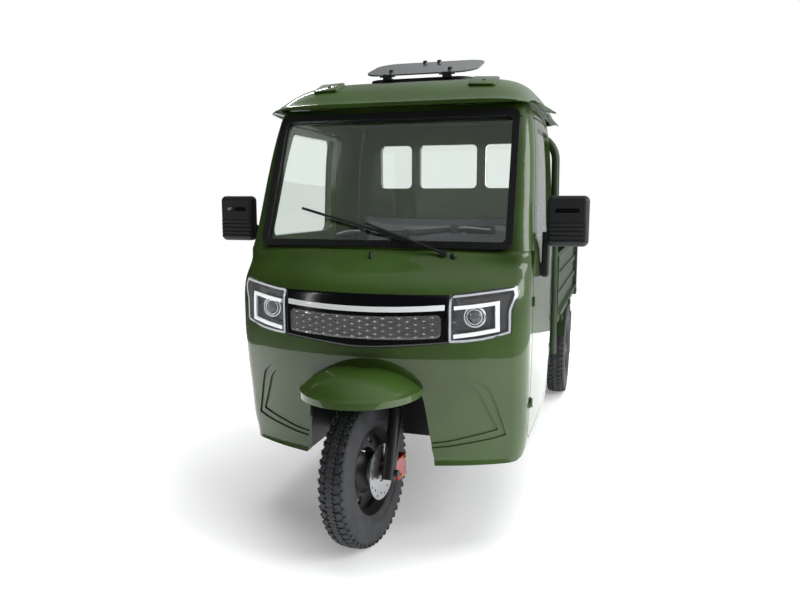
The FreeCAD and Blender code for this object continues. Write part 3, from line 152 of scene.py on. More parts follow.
def mouldedBlackPlastic():     # textured polypropylene, grey sheen on its grain
    m = newMaterial("mouldedBlackPlastic")
    grain = objectNoise(m, 1.2, 4.0)
    return surfaceFrom(m, {"IOR": 1.49}, {"Base Color": twoTone(m, grain, "#18191b", "#242527"),
                       "Roughness": valueRange(m, grain, 0.42, 0.6),
                                          "Normal": bumpFrom(m, grain, 0.2, 0.25)})


def gaugeBlackPlastic():       # smooth glossy ABS behind clear covers
    m = newMaterial("gaugeBlackPlastic")
    haze = objectNoise(m, 30.0, 3.0)
    return surfaceFrom(m, {"Base Color": hexColour("#0b0c0e"), "IOR": 1.53},
                       {"Roughness": valueRange(m, haze, 0.12, 0.2)})


def sealRubber():          # extruded EPDM seal, dull with faint drag lines
    m = newMaterial("sealRubber")
    drag = objectNoise(m, 3.0, 3.0, (0.1, 1, 1))
    return surfaceFrom(m, {"IOR": 1.52}, {"Base Color": twoTone(m, drag, "#0d0d0e", "#17171a"),
                       "Roughness": valueRange(m, drag, 0.4, 0.6), "Normal": bumpFrom(m, drag, 0.1, 0.2)})


def tyreRubber():          # carbon-black tyre compound, greyer where it is dry
    m = newMaterial("tyreRubber")
    dust = objectNoise(m, 45.0, 5.0)
    grit = objectNoise(m, 1.5, 3.0)
    return surfaceFrom(m, {"IOR": 1.5}, {"Base Color": twoTone(m, dust, "#222325", "#34363a"),
                       "Roughness": valueRange(m, dust, 0.55, 0.75),
                                         "Normal": bumpFrom(m, grit, 0.15, 0.3)})


def castAluminium():       # sand-cast hub and drums, bright on its machined rims
    m = newMaterial("castAluminium")
    grain = objectNoise(m, 2.0, 4.0)
    return surfaceFrom(m, {"Metallic": 1.0}, {"Base Color": twoTone(m, grain, "#8d9092", "#b4b7b9"),
                       "Roughness": valueRange(m, grain, 0.35, 0.55),
                                              "Normal": bumpFrom(m, grain, 0.2, 0.3)})


def groundDiscSteel():     # ground stainless disc, fine circular scratches drawn coarser than life
    m = newMaterial("groundDiscSteel")
    scratch = objectNoise(m, 1.0, 2.0, (0.2, 1, 1))
    return surfaceFrom(m, {"Metallic": 1.0, "Base Color": hexColour("#b9bbbd")},
                       {"Roughness": valueRange(m, scratch, 0.22, 0.38),
                        "Normal": bumpFrom(m, scratch, 0.1, 0.2)})


def chromePlate():         # decorative chrome
    m = newMaterial("chromePlate")
    haze = objectNoise(m, 20.0, 3.0)
    return surfaceFrom(m, {"Metallic": 1.0, "Base Color": hexColour("#d9dcdf")},
                       {"Roughness": valueRange(m, haze, 0.05, 0.14)})


def zincBolt():            # yellow-passivated fasteners
    m = newMaterial("zincBolt")
    haze = objectNoise(m, 6.0, 3.0)
    return surfaceFrom(m, {"Metallic": 1.0}, {"Base Color": twoTone(m, haze, "#a88a3c", "#c9ab58"),
                       "Roughness": valueRange(m, haze, 0.25, 0.4)})


def redBrakeEnamel():      # red brake enamel over a casting
    m = newMaterial("redBrakeEnamel")
    grain = objectNoise(m, 2.5, 3.0)
    return surfaceFrom(m, {"Coat Weight": 0.6, "Coat Roughness": 0.08, "IOR": 1.5},
                       {"Base Color": twoTone(m, grain, "#9c1710", "#b8231a"),
                        "Roughness": valueRange(m, grain, 0.3, 0.42),
                        "Normal": bumpFrom(m, grain, 0.2, 0.2)})


def orangeEnamelCoat():    # orange-red enamel, smooth and slightly wet
    m = newMaterial("orangeEnamelCoat")
    grain = objectNoise(m, 3.0, 3.0)
    return surfaceFrom(m, {"Coat Weight": 0.5, "Coat Roughness": 0.1, "IOR": 1.5},
                       {"Base Color": twoTone(m, grain, "#c2300f", "#d8431a"),
                        "Roughness": valueRange(m, grain, 0.3, 0.4)})


def floatGlass():          # 5 mm float glass, barely green
    m = newMaterial("floatGlass")
    smear = objectNoise(m, 90.0, 4.0)
    return surfaceFrom(m, {"Base Color": hexColour("#f2f7f4"), "Transmission Weight": 1.0, "IOR": 1.02,
                           "Specular IOR Level": 0.5, "Coat Weight": 1.0, "Coat Roughness": 0.0},
                       {"Roughness": valueRange(m, smear, 0.0, 0.01)})


def clearPolycarbonate():  # moulded lamp cover
    m = newMaterial("clearPolycarbonate")
    smear = objectNoise(m, 60.0, 3.0)
    return surfaceFrom(m, {"Base Color": hexColour("#fbfcfd"), "Transmission Weight": 1.0, "IOR": 1.04,
                           "Coat Weight": 1.0, "Coat Roughness": 0.01},
                       {"Roughness": valueRange(m, smear, 0.0, 0.02)})


def smokedAcrylic():       # grey tinted hatch lid, slightly milky
    m = newMaterial("smokedAcrylic")
    haze = objectNoise(m, 50.0, 3.0)
    return surfaceFrom(m, {"Transmission Weight": 0.35, "IOR": 1.49, "Coat Weight": 1.0,
                           "Coat Roughness": 0.04},
                       {"Base Color": twoTone(m, haze, "#4d5452", "#5d6462"),
                        "Roughness": valueRange(m, haze, 0.12, 0.22)})


def lampSilver():          # vacuum-metallised lamp bowl
    m = newMaterial("lampSilver")
    haze = objectNoise(m, 25.0, 3.0)
    return surfaceFrom(m, {"Metallic": 1.0, "Base Color": hexColour("#c9ccd0")},
                       {"Roughness": valueRange(m, haze, 0.12, 0.25)})


def satinStudSilver():     # satin silver print on the moulded studs, bright from every side
    m = newMaterial("satinStudSilver")
    haze = objectNoise(m, 9.0, 3.0)
    return surfaceFrom(m, {"Metallic": 0.2, "IOR": 1.5},
                       {"Base Color": twoTone(m, haze, "#c4c7ca", "#e3e5e7"),
                       "Roughness": valueRange(m, haze, 0.3, 0.45)})


def lightGuideWhite():     # milky light guide of the daytime lamps
    m = newMaterial("lightGuideWhite")
    haze = objectNoise(m, 12.0, 3.0)
    return surfaceFrom(m, {"Base Color": hexColour("#f4f6f7"), "Emission Color": hexColour("#ffffff"),
                           "Emission Strength": 0.04, "Coat Weight": 0.6},
                       {"Roughness": valueRange(m, haze, 0.2, 0.3)})


def redLampLens():         # ribbed red acrylic
    m = newMaterial("redLampLens")
    rib = objectNoise(m, 4.0, 1.0, (1, 1, 0.05))
    return surfaceFrom(m, {"Base Color": hexColour("#8f0f0c"), "Coat Weight": 1.0, "Coat Roughness": 0.05,
                           "IOR": 1.49},
                       {"Roughness": valueRange(m, rib, 0.15, 0.3), "Normal": bumpFrom(m, rib, 0.5, 0.4)})


def vinylWithPaintedSheen():        # black seat vinyl still under clear protective film: creased highlights; its grain tones are a painted sheen, mid grey where the bare vinyl would be near black
    m = newMaterial("vinylWithPaintedSheen")
    crease = objectNoise(m, 38.0, 5.0, (1, 0.6, 1.6), 0.6)
    grain = objectNoise(m, 2.0, 3.0)
    return surfaceFrom(m, {"Coat Weight": 1.0, "Coat Roughness": 0.08, "IOR": 1.5},
                       # painted sheen: the grain varies between two mid greys, far lighter than black vinyl,
                       # standing in for light on the film
                       {"Base Color": twoTone(m, grain, "#62666f", "#858a93"),
                        "Roughness": valueRange(m, crease, 0.25, 0.5),
                        "Normal": bumpFrom(m, crease, 9.0, 0.5)})


def projectorGlassLens():  # thick optical glass over a dark chamber
    m = newMaterial("projectorGlassLens")
    haze = objectNoise(m, 18.0, 2.0)
    return surfaceFrom(m, {"Base Color": hexColour("#22272c"), "IOR": 1.52, "Coat Weight": 1.0,
                           "Coat Roughness": 0.0},
                       {"Roughness": valueRange(m, haze, 0.02, 0.08)})


def silverMirror():        # silvered mirror glass
    m = newMaterial("silverMirror")
    haze = objectNoise(m, 60.0, 2.0)
    return surfaceFrom(m, {"Metallic": 1.0, "Base Color": hexColour("#e3e8ea")},
                       {"Roughness": valueRange(m, haze, 0.0, 0.03)})


def matteFloor():          # pale painted studio floor that glows a little, more so away from the object
    m = newMaterial("matteFloor")
    dust = objectNoise(m, 400.0, 3.0)
    place = addNode(m, "ShaderNodeTexCoord")
    away = addNode(m, "ShaderNodeVectorMath", {"operation": "LENGTH"}, {"Vector": place.outputs["Object"]})
    glow = addNode(m, "ShaderNodeMapRange", {"From Min": 1.3, "From Max": 2.8, "To Min": 0.22,
                                             "To Max": 1.0},
                   {"Value": away.outputs["Value"]})
    return surfaceFrom(m, {"IOR": 1.3, "Emission Color": hexColour("#ffffff")},
                       {"Base Color": twoTone(m, dust, "#f1f1f1", "#f6f6f6"),
                        "Roughness": valueRange(m, dust, 0.75, 0.9),
                        "Emission Strength": glow.outputs["Result"]})


olive = glossOlivePaint()
bedGreen = glossBedPaint()
powderBlack = blackPowderCoat()
plasticBlack = mouldedBlackPlastic()
gaugeBlack = gaugeBlackPlastic()
rubberBlack = sealRubber()
tyreBlack = tyreRubber()
aluminium = castAluminium()
discSteel = groundDiscSteel()
chrome = chromePlate()
zinc = zincBolt()
redEnamel = redBrakeEnamel()
orangeEnamel = orangeEnamelCoat()
glass = floatGlass()
lensClear = clearPolycarbonate()
acrylicGrey = smokedAcrylic()
silverBowl = lampSilver()
guideWhite = lightGuideWhite()
studSilver = satinStudSilver()
redLens = redLampLens()
vinyl = vinylWithPaintedSheen()
mirrorGlass = silverMirror()
projectorGlass = projectorGlassLens()
print("materials made")


# modelling helpers

def selectOnly(*objects):
    bpy.ops.object.select_all(action="DESELECT")
    for piece in objects:
        piece.select_set(True)
    bpy.context.view_layer.objects.active = objects[0]


def applyPlace(piece):
    selectOnly(piece)
    bpy.ops.object.transform_apply(location=True, rotation=True, scale=True)


def addModifier(piece, kind, settings):
    modifier = piece.modifiers.new(kind.title(), kind)
    for key, value in settings.items():
        setattr(modifier, key, value)
    selectOnly(piece)
    bpy.ops.object.modifier_apply(modifier=modifier.name)


def softenEdges(piece, width, segments=2, angle=30.0):
    addModifier(piece, "BEVEL", {"width": width, "segments": segments, "limit_method": "ANGLE",
                                 "angle_limit": math.radians(angle), "harden_normals": False})


def smooth(piece, angle=35.0):
    selectOnly(piece)
    bpy.ops.object.shade_smooth_by_angle(angle=math.radians(angle))


def turnOutward(piece):
    selectOnly(piece)
    bpy.ops.object.mode_set(mode="EDIT")
    bpy.ops.mesh.select_all(action="SELECT")
    bpy.ops.mesh.normals_make_consistent(inside=False)
    bpy.ops.object.mode_set(mode="OBJECT")


def paint(piece, material):
    piece.data.materials.clear()
    piece.data.materials.append(material)


def block(name, low, high, bevel=0.0, segments=3):
    centre = [(a + b) / 2 for a, b in zip(low, high)]
    bpy.ops.mesh.primitive_cube_add(size=1.0, location=centre)
    piece = bpy.context.object
    piece.name = name
    piece.scale = [b - a for a, b in zip(low, high)]
    applyPlace(piece)
    if bevel:
        softenEdges(piece, bevel, segments)
    return piece


def bar(name, start, end, radius, sides=24, bevel=0.0):
    start, end = Vector(start), Vector(end)
    along = end - start
    bpy.ops.mesh.primitive_cylinder_add(vertices=sides, radius=radius, depth=along.length,
                                        location=(start + end) / 2)
    piece = bpy.context.object
    piece.name = name
    piece.rotation_euler = along.to_track_quat("Z", "Y").to_euler()
    applyPlace(piece)
    if bevel:
        softenEdges(piece, bevel)
    return piece


def tube(name, points, radius, resolution=10, closed=False):
    curve = bpy.data.curves.new(name, "CURVE")
    curve.dimensions = "3D"
    spline = curve.splines.new("NURBS")
    spline.points.add(len(points) - 1)
    for knot, point in zip(spline.points, points):
        knot.co = (*point, 1.0)
    spline.order_u = 3
    spline.use_endpoint_u = not closed
    spline.use_cyclic_u = closed
    spline.resolution_u = resolution
    curve.bevel_depth = radius
    curve.bevel_resolution = 4
    curve.use_fill_caps = True
    piece = bpy.data.objects.new(name, curve)
    bpy.context.collection.objects.link(piece)
    selectOnly(piece)
    bpy.ops.object.convert(target="MESH")
    return bpy.context.object


def spunAboutX(name, profile, steps=64):       # profile points are (across, radius)
    curve = bpy.data.curves.new(name, "CURVE")
    curve.dimensions = "3D"
    spline = curve.splines.new("POLY")
    spline.points.add(len(profile) - 1)
    for knot, (across, radius) in zip(spline.points, profile):
        knot.co = (across, 0.0, radius, 1.0)
    piece = bpy.data.objects.new(name, curve)
    bpy.context.collection.objects.link(piece)
    selectOnly(piece)
    bpy.ops.object.convert(target="MESH")
    piece = bpy.context.object
    bpy.ops.object.mode_set(mode="EDIT")
    bpy.ops.mesh.select_all(action="SELECT")
    bpy.ops.mesh.spin(steps=steps, angle=2 * math.pi, center=(0, 0, 0), axis=(1, 0, 0))
    bpy.ops.mesh.select_all(action="SELECT")
    bpy.ops.mesh.remove_doubles(threshold=0.00002)
    bpy.ops.object.mode_set(mode="OBJECT")
    turnOutward(piece)
    return piece


def join(name, pieces):
    selectOnly(*pieces)
    if len(pieces) > 1:
        bpy.ops.object.join()
    piece = bpy.context.object
    piece.name = name
    return piece


def copyTurned(piece, angle, centre, axis):
    selectOnly(piece)
    twin = bpy.data.objects.new(piece.name + "_turn", piece.data.copy())
    bpy.context.collection.objects.link(twin)
    turn = Matrix.Translation(centre) @ Matrix.Rotation(angle, 4,
                                                        Vector(axis)) @ Matrix.Translation(-Vector(centre))
    twin.matrix_world = turn
    applyPlace(twin)
    return twin


def mirrorCopy(piece, name):
    twin = bpy.data.objects.new(name, piece.data.copy())
    bpy.context.collection.objects.link(twin)
    twin.scale = (-1, 1, 1)
    applyPlace(twin)
    selectOnly(twin)
    bpy.ops.object.mode_set(mode="EDIT")
    bpy.ops.mesh.select_all(action="SELECT")
    bpy.ops.mesh.flip_normals()
    bpy.ops.object.mode_set(mode="OBJECT")
    return twin


def flipped(piece):        # the piece itself, carried across to the other side
    name = piece.name
    twin = mirrorCopy(piece, name + "_twin")
    bpy.data.objects.remove(piece)
    twin.name = name
    return twin


def moveBy(piece, matrix):
    piece.matrix_world = matrix @ piece.matrix_world
    applyPlace(piece)


def finish(piece, body, material=None, replaced=(), angle=35.0):
    if material is not None:
        paint(piece, material)
    smooth(piece, angle)
    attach(piece, body)
    if replaced:
        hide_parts(*replaced)
    return piece


# a smooth-shaded stand-in with the node's own shape
def dressed(node, body, material, bevel=0.0, angle=32.0):
    piece = bpy.data.objects.new(node + "_skin", nodes[node].data.copy())
    bpy.context.collection.objects.link(piece)
    piece.parent = None
    selectOnly(piece)
    bpy.ops.object.mode_set(mode="EDIT")
    bpy.ops.mesh.select_all(action="SELECT")
    bpy.ops.mesh.remove_doubles(threshold=0.00003)
    bpy.ops.mesh.dissolve_limited(angle_limit=math.radians(0.15))
    bpy.ops.object.mode_set(mode="OBJECT")
    if bevel:
        softenEdges(piece, bevel, 2, 40.0)
    paint(piece, material)
    selectOnly(piece)
    bpy.ops.object.shade_smooth_by_angle(angle=math.radians(angle))
    addModifier(piece, "WEIGHTED_NORMAL", {"keep_sharp": True, "weight": 80})
    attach(piece, body)
    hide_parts(node)
    return piece


# painted cab and bed

cabPaint = ("cab_front_panel", "windscreen_surround", "side_frames", "rear_panel", "roof_panel",
            "front_fender")
for node in cabPaint:
    dressed(node, "chassis", olive, 0.0012 if node in ("cab_front_panel", "front_fender") else 0.0)
for side in ("left", "right"):
    dressed("door_" + side, "door_" + side, olive)
    dressed("side_gate_" + side, "side_gate_" + side, bedGreen, 0.0015)
dressed("tailgate", "tailgate", bedGreen, 0.0015)
dressed("cargo_floor", "chassis", bedGreen)
dressed("cargo_headboard", "chassis", bedGreen)
print("painted panels done")

plainFinish = {
    "windscreen": glass, "windscreen_seal": rubberBlack, "door_glass_left": glass,
               "door_glass_right": glass,
    "rear_window": glass, "roof_hatch_frame": plasticBlack,
    "roof_hatch": acrylicGrey, "grille_panel": gaugeBlack, "headlamps": gaugeBlack,
               "headlamp_lenses": lensClear,
    "front_fork": powderBlack, "handlebar": powderBlack, "brake_caliper": redEnamel,
    "front_rim": powderBlack, "front_brake_disc": discSteel, "chassis_frame": powderBlack,
               "rear_axle": aluminium,
    "leaf_springs": powderBlack, "rear_rim_left": powderBlack, "rear_rim_right": powderBlack,
               "cab_floor": powderBlack,
    "dashboard": plasticBlack, "battery_pack": plasticBlack, "wiper": plasticBlack,
    "rear_bumper": powderBlack, "tail_lamps": redLens,
}
for node, material in plainFinish.items():
    paint(nodes[node], material)


# tyres

tyreSizes = {
    "front": {"radius": 265 * mm, "width": 98 * mm, "units": 52, "treadDepth": 5 * mm},
    "rear": {"radius": 280 * mm, "width": 108 * mm, "units": 54, "treadDepth": 6 * mm},
}
beadRadius = 157 * mm


def tyreSection(radius, width, depth):
    w = width / 2
    crown = radius - depth
    return [
        (-w * 0.70, beadRadius), (-w * 0.80, beadRadius + 3 * mm), (-w * 0.86, beadRadius + 12 * mm),
        (-w * 0.95, beadRadius + 26 * mm), (-w * 0.99, beadRadius + (radius - beadRadius) * 0.45),
        (-w * 0.98, beadRadius + (radius - beadRadius) * 0.62), (-w * 0.93, radius - 25 * mm),
        (-w * 0.84, crown - 10 * mm), (-w * 0.70, crown - 4.5 * mm), (-w * 0.40, crown - 1.2 * mm),
            (0.0, crown),
        (w * 0.40, crown - 1.2 * mm), (w * 0.70, crown - 4.5 * mm), (w * 0.84, crown - 10 * mm),
        (w * 0.93, radius - 25 * mm), (w * 0.98, beadRadius + (radius - beadRadius) * 0.62),
        (w * 0.99, beadRadius + (radius - beadRadius) * 0.45), (w * 0.95, beadRadius + 26 * mm),
        (w * 0.86, beadRadius + 12 * mm), (w * 0.80, beadRadius + 3 * mm), (w * 0.70, beadRadius),
        (w * 0.55, beadRadius + 2 * mm), (-w * 0.55, beadRadius + 2 * mm), (-w * 0.70, beadRadius),
    ]


def treadBlock(x, along, slant, size, top, lean=0.0):     # one rubber block on the crown, above the hub
    bpy.ops.mesh.primitive_cube_add(size=1.0, location=(0, 0, 0))
    lump = bpy.context.object
    lump.scale = size
    lump.rotation_euler = (0.0, lean, slant)
    lump.location = (x, along, top - size[2] / 2)
    applyPlace(lump)
    softenEdges(lump, 1.2 * mm, 1)
    return lump


def makeTyre(name, size):
    carcass = spunAboutX(name + "_carcass", tyreSection(size["radius"], size["width"], size["treadDepth"]),
                         96)
    pitch = 2 * math.pi * size["radius"] / size["units"]
    w = size["width"] / 2
    depth = size["treadDepth"] + 4 * mm
    unit = join(name + "_unit", [
        treadBlock(0.0, -pitch * 0.25, 0.55, (0.50 * w, 0.60 * pitch, depth), size["radius"] - 0.2 * mm),
        treadBlock(0.0, pitch * 0.25, -0.55, (0.50 * w, 0.60 * pitch, depth), size["radius"] - 0.2 * mm),
        treadBlock(-w * 0.52, 0.0, -0.35, (0.36 * w, 0.70 * pitch, depth), size["radius"] - 1.8 * mm,
                   -0.12),
        treadBlock(w * 0.52, 0.0, 0.35, (0.36 * w, 0.70 * pitch, depth), size["radius"] - 1.8 * mm, 0.12),
        treadBlock(-w * 0.80, pitch * 0.5, 0.25, (0.22 * w, 0.56 * pitch, depth * 1.3),
                   size["radius"] - 8.5 * mm, -0.75),
        treadBlock(w * 0.80, pitch * 0.5, -0.25, (0.22 * w, 0.56 * pitch, depth * 1.3),
                   size["radius"] - 8.5 * mm, 0.75),
    ])
    ring = [unit]
    for i in range(1, size["units"]):
        ring.append(copyTurned(unit, 2 * math.pi * i / size["units"], Vector((0, 0, 0)), (1, 0, 0)))
    rings = []
    for across in (-0.93, 0.93):       # raised bead lines on the side walls
        bpy.ops.mesh.primitive_torus_add(major_radius=beadRadius + 24 * mm, minor_radius=1.6 * mm,
                                         major_segments=96,
                                         minor_segments=8, rotation=(0, math.pi / 2, 0),
                                         location=(across * w, 0, 0))
        applyPlace(bpy.context.object)
        rings.append(bpy.context.object)
    return join(name, [carcass] + ring + rings)


frontTyre = makeTyre("front_tyre_treaded", tyreSizes["front"])
moveBy(frontTyre, steerMatrix @ Matrix.Translation(frontHub))
finish(frontTyre, "front_wheel", tyreBlack, ["front_tyre"], 40)
rearTyre = makeTyre("rear_tyre_left_treaded", tyreSizes["rear"])
moveBy(rearTyre, Matrix.Translation(rearHub))
rearTyreRight = mirrorCopy(rearTyre, "rear_tyre_right_treaded")
finish(rearTyre, "rear_wheel_left", tyreBlack, ["rear_tyre_left"], 40)
finish(rearTyreRight, "rear_wheel_right", tyreBlack, ["rear_tyre_right"], 40)
print("tyres done")


# surfaces taken from the frame, so that trim lies on them
def surfaceTree(*names):
    points, faces = [], []
    for name in names:
        data = nodes[name].data
        first = len(points)
        points += [vertex.co.copy() for vertex in data.vertices]
        faces += [[first + i for i in polygon.vertices] for polygon in data.polygons]
    return BVHTree.FromPolygons(points, faces)


# place(u, v) gives each point of the sheet
def sheet(name, columns, rows, place, thickness=0.0, bevel=0.0):
    bpy.ops.mesh.primitive_grid_add(x_subdivisions=columns, y_subdivisions=rows, size=1)
    piece = bpy.context.object
    piece.name = name
    for vertex in piece.data.vertices:
        vertex.co = place(vertex.co.x + 0.5, vertex.co.y + 0.5)
    if thickness:
        addModifier(piece, "SOLIDIFY", {"thickness": thickness, "offset": -1.0})
    if bevel:
        softenEdges(piece, bevel, 2, 50.0)
    return piece


# place carries it from the XY plane
def roundedPlate(name, halfWide, halfTall, corner, thick, place, bevel=0.0):
    bpy.ops.mesh.primitive_cylinder_add(vertices=48, radius=1.0, depth=thick)
    piece = bpy.context.object
    piece.name = name
    for vertex in piece.data.vertices:
        c, s = vertex.co.x, vertex.co.y
        vertex.co.x = math.copysign(halfWide - corner, c if abs(c) > 1e-6 else 1) + corner * c
        vertex.co.y = math.copysign(halfTall - corner, s if abs(s) > 1e-6 else 1) + corner * s
    piece.matrix_world = place
    applyPlace(piece)
    if bevel:
        softenEdges(piece, bevel, 2, 50.0)
    return piece


def facing(place, outward, up=(0, 0, 1)):      # local Z outward, local Y as near up as can be
    z = Vector(outward).normalized()
    x = Vector(up).cross(z).normalized()
    y = z.cross(x)
    return Matrix.Translation(place) @ Matrix((x, y, z)).transposed().to_4x4()


grilleY = -1370 * mm
noseBow = 933 * mm
noseFront = [(700, -4.0), (716, -4.0), (810, -6.0), (880, 0.0), (920, 22.0)]      # height, depth in mm


def noseDepth(z):
    z = z / mm
    for (z0, d0), (z1, d1) in zip(noseFront, noseFront[1:]):
        if z <= z1:
            t = (z - z0) / (z1 - z0)
            t = t * t if z1 in (880, 920) else t
            return (d0 + (d1 - d0) * t) * mm
    return noseFront[-1][1] * mm


def onNose(x, z, out=0.0):
    sag = math.sqrt(noseBow * noseBow - x * x)
    y = grilleY + noseDepth(z) + noseBow - sag
    tilt = Vector((x, -sag, 0.0)).normalized()
    return Vector((x, y, z)) + tilt * out


# the black band with its light bar and studded insert
band = {"half": 295.5 * mm, "footEnd": 738.5 * mm, "footMiddle": 717.0 * mm, "head": 898.5 * mm}
insert = {"half": 270 * mm, "middleLow": 747 * mm, "endLow": 757 * mm, "middleHigh": 825 * mm,
          "endHigh": 834 * mm}


def bandPoint(u, v):
    x = (2 * u - 1) * band["half"]
    far = abs(x) / band["half"]
    foot = band["footMiddle"] + (band["footEnd"] - band["footMiddle"]) * max(far - 0.12, 0.0) / 0.88
    return onNose(x, foot + (band["head"] - foot) * v, -2 * mm)


blackBand = sheet("grille_band", 60, 20, bandPoint, 9 * mm, 1.2 * mm)
finish(blackBand, "chassis", gaugeBlack, ["grille_panel"])


lightBar = {"half": 281 * mm, "middle": 848 * mm, "endRise": 10 * mm, "tall": 18 * mm, "proud": 1.5 * mm}


def guidePoint(u, v):
    x = (2 * u - 1) * lightBar["half"]
    z = lightBar["middle"] + lightBar["endRise"] * (x / lightBar["half"]) ** 2 + (v - 0.5) * lightBar["tall"]
    return onNose(x, z, lightBar["proud"])


finish(sheet("light_bar", 60, 1, guidePoint, 5 * mm, 1.5 * mm), "chassis", guideWhite)


def insertPoint(u, v, out, shrink=0.0):
    half = insert["half"] - shrink
    x = (2 * u - 1) * half
    far = (x / half) ** 2
    low = insert["middleLow"] + (insert["endLow"] - insert["middleLow"]) * far + shrink
    high = insert["middleHigh"] + (insert["endHigh"] - insert["middleHigh"]) * far - shrink
    corner = 14 * mm
    over = max(0.0, abs(x) - (half - corner))
    nip = corner - math.sqrt(max(corner * corner - over * over, 0.0))
    return onNose(x, low + nip + (high - low - 2 * nip) * v, out)


finish(sheet("grille_insert_bed", 60, 6, lambda u, v: insertPoint(u, v, -1.2 * mm), 2 * mm), "chassis",
       gaugeBlack)
finish(sheet("grille_insert_cover", 72, 6, lambda u, v: insertPoint(u, v, 4.2 * mm), 1.5 * mm, 0.6 * mm),
       "chassis", lensClear)

studs = {"across": 27 * mm, "up": 10.6 * mm, "long": 11.5 * mm, "tall": 4.6 * mm, "proud": 4.2 * mm,
         "endRise": 8.5 * mm}
starPieces = []
for row in range(-3, 4):
    for column in range(-9, 10):
        if (row + column) % 2:
            continue
        x = column * studs["across"]
        rise = studs["endRise"] * (x / insert["half"]) ** 2
        z = (insert["middleLow"] + insert["middleHigh"]) / 2 + rise + row * studs["up"]
        bpy.ops.mesh.primitive_cone_add(vertices=8, radius1=1.0, radius2=0.0, depth=1.0)
        star = bpy.context.object
        fade = 1.0 - 0.25 * abs(x) / insert["half"]
        for vertex in star.data.vertices:
            spread = 0.30 if abs(abs(vertex.co.x) - abs(vertex.co.y)) < 0.01 else 1.0
            vertex.co = Vector((vertex.co.x * studs["long"] * spread * fade,
                                vertex.co.y * studs["tall"] * spread * fade,
                                (vertex.co.z + 0.5) * studs["proud"]))
        where = onNose(x, z, -0.8 * mm)
        star.matrix_world = facing(where, onNose(x, z, 1.0) - onNose(x, z, 0.0))
        applyPlace(star)
        starPieces.append(star)
finish(join("grille_studs", starPieces), "chassis", studSilver, angle=20)
print("grille done")

# headlamps: bowl, light guides, projector and trim behind the clear lens
lensTree = surfaceTree("headlamp_lenses")


def onLens(x, z, out=0.0):      # out is measured from the body surface, the lens stands 4 mm proud of it
    start = Vector((x, -2.0, z))
    hit, normal = lensTree.ray_cast(start, Vector((0, 1, 0)))[:2]
    if hit is None:
        near, normal = lensTree.find_nearest(Vector((x, -1.26, z)))[:2]
        hit = Vector((x, near.y, z))
    if normal.y > 0:
        normal = -normal
    return hit + normal * (out - 4 * mm)


# the lamp's four edges, as across and height in millimetres
lampFoot = [(299, 742), (400, 750), (487, 771)]
lampHead = [(299, 895), (400, 906), (498, 919)]
lampInner = [(299, 742), (299, 895)]
lampEdge = [(487, 771), (486, 844), (503, 897), (498, 919)]
lampBowl = {"lip": 5, "deep": 30}


def along(path, t):
    lengths = [math.dist(a, b) for a, b in zip(path, path[1:])]
    reach = t * sum(lengths)
    for a, b, length in zip(path, path[1:], lengths):
        if reach <= length or b is path[-1]:
            k = min(reach / length, 1.0)
            return a[0] + (b[0] - a[0]) * k, a[1] + (b[1] - a[1]) * k
        reach -= length
    return path[-1]


def lampPoint(u, v, side, depth):      # a patch stretched between the four edges
    foot, head = along(lampFoot, u), along(lampHead, u)
    inner, edge = along(lampInner, v), along(lampEdge, v)
    corners = (lampFoot[0], lampFoot[-1], lampHead[0], lampHead[-1])
    shares = ((1 - u) * (1 - v), u * (1 - v), (1 - u) * v, u * v)
    x, z = [(1 - u) * inner[k] + u * edge[k] + (1 - v) * foot[k] + v * head[k]
            - sum(share * corner[k] for share, corner in zip(shares, corners)) for k in (0, 1)]
    place = onLens(x * mm, z * mm)
    return Vector((place.x * side, place.y + depth, place.z))


def bowlPoint(u, v, side):
    rim = min(u / 0.10, (1 - u) / 0.13, v / 0.12, (1 - v) / 0.12, 1.0)
    rim = rim * rim * (3 - 2 * rim)
    return lampPoint(u, v, side, (lampBowl["lip"] + lampBowl["deep"] * rim) * mm)


# flat strip on the lens surface, path in millimetres
def ribbon(name, path, width, side, out, thickness=3.0):
    count = len(path)

    def place(u, v):
        k = u * (count - 1)
        i = min(int(k + 1e-6), count - 2)
        t = k - i
        x = path[i][0] + (path[i + 1][0] - path[i][0]) * t
        z = path[i][1] + (path[i + 1][1] - path[i][1]) * t
        sideways = Vector((0.0, 0.0))
        for j in {i, i + 1} if 1e-4 < t < 1 - 1e-4 else {i + round(t)}:
            for a, b in ((j - 1, j), (j, j + 1)):
                if a >= 0 and b < count and (t < 1e-4 or t > 1 - 1e-4 or (a, b) == (i, i + 1)):
                    step = Vector((path[b][0] - path[a][0], path[b][1] - path[a][1])).normalized()
                    sideways += Vector((-step.y, step.x))
        bend = sideways.length
        sideways = sideways.normalized() * width / max(0.3, min(1.0, bend / 2 if bend > 1.01 else 1.0))
        x += sideways.x * (v - 0.5)
        z += sideways.y * (v - 0.5)
        point = onLens(x * mm, z * mm, out * mm)
        return Vector((point.x * side, point.y, point.z))
    piece = sheet(name, (count - 1) * 4, 1, place, thickness * mm)
    turnOutward(piece)
    return piece


drlPath = [(312, 856), (380, 862), (447, 871), (448, 825), (449, 780), (380, 768), (311, 760)]
trimPath = [(300, 744), (350, 746), (400, 751), (445, 760), (485, 772), (485, 810), (485, 846), (494, 872),
            (502, 897), (498, 917), (450, 911), (400, 905), (350, 899), (300, 894), (300, 845), (300, 795),
            (300, 744)]
projector = {"x": 372 * mm, "z": 824 * mm, "behind": 24 * mm, "turnOut": 0.12, "ring": 34 * mm,
             "ringThick": 4.5 * mm, "innerRing": 25 * mm, "innerThick": 2.5 * mm, "innerStep": 5 * mm,
             "eye": 24 * mm, "eyeFlat": 0.6, "barrel": 37 * mm, "barrelDeep": 14 * mm}


def lampRing(place, outward, radius, thick):
    bpy.ops.mesh.primitive_torus_add(major_radius=radius, minor_radius=thick, major_segments=48,
                                     minor_segments=12)
    ring = bpy.context.object
    ring.matrix_world = facing(place, outward)
    applyPlace(ring)
    return ring


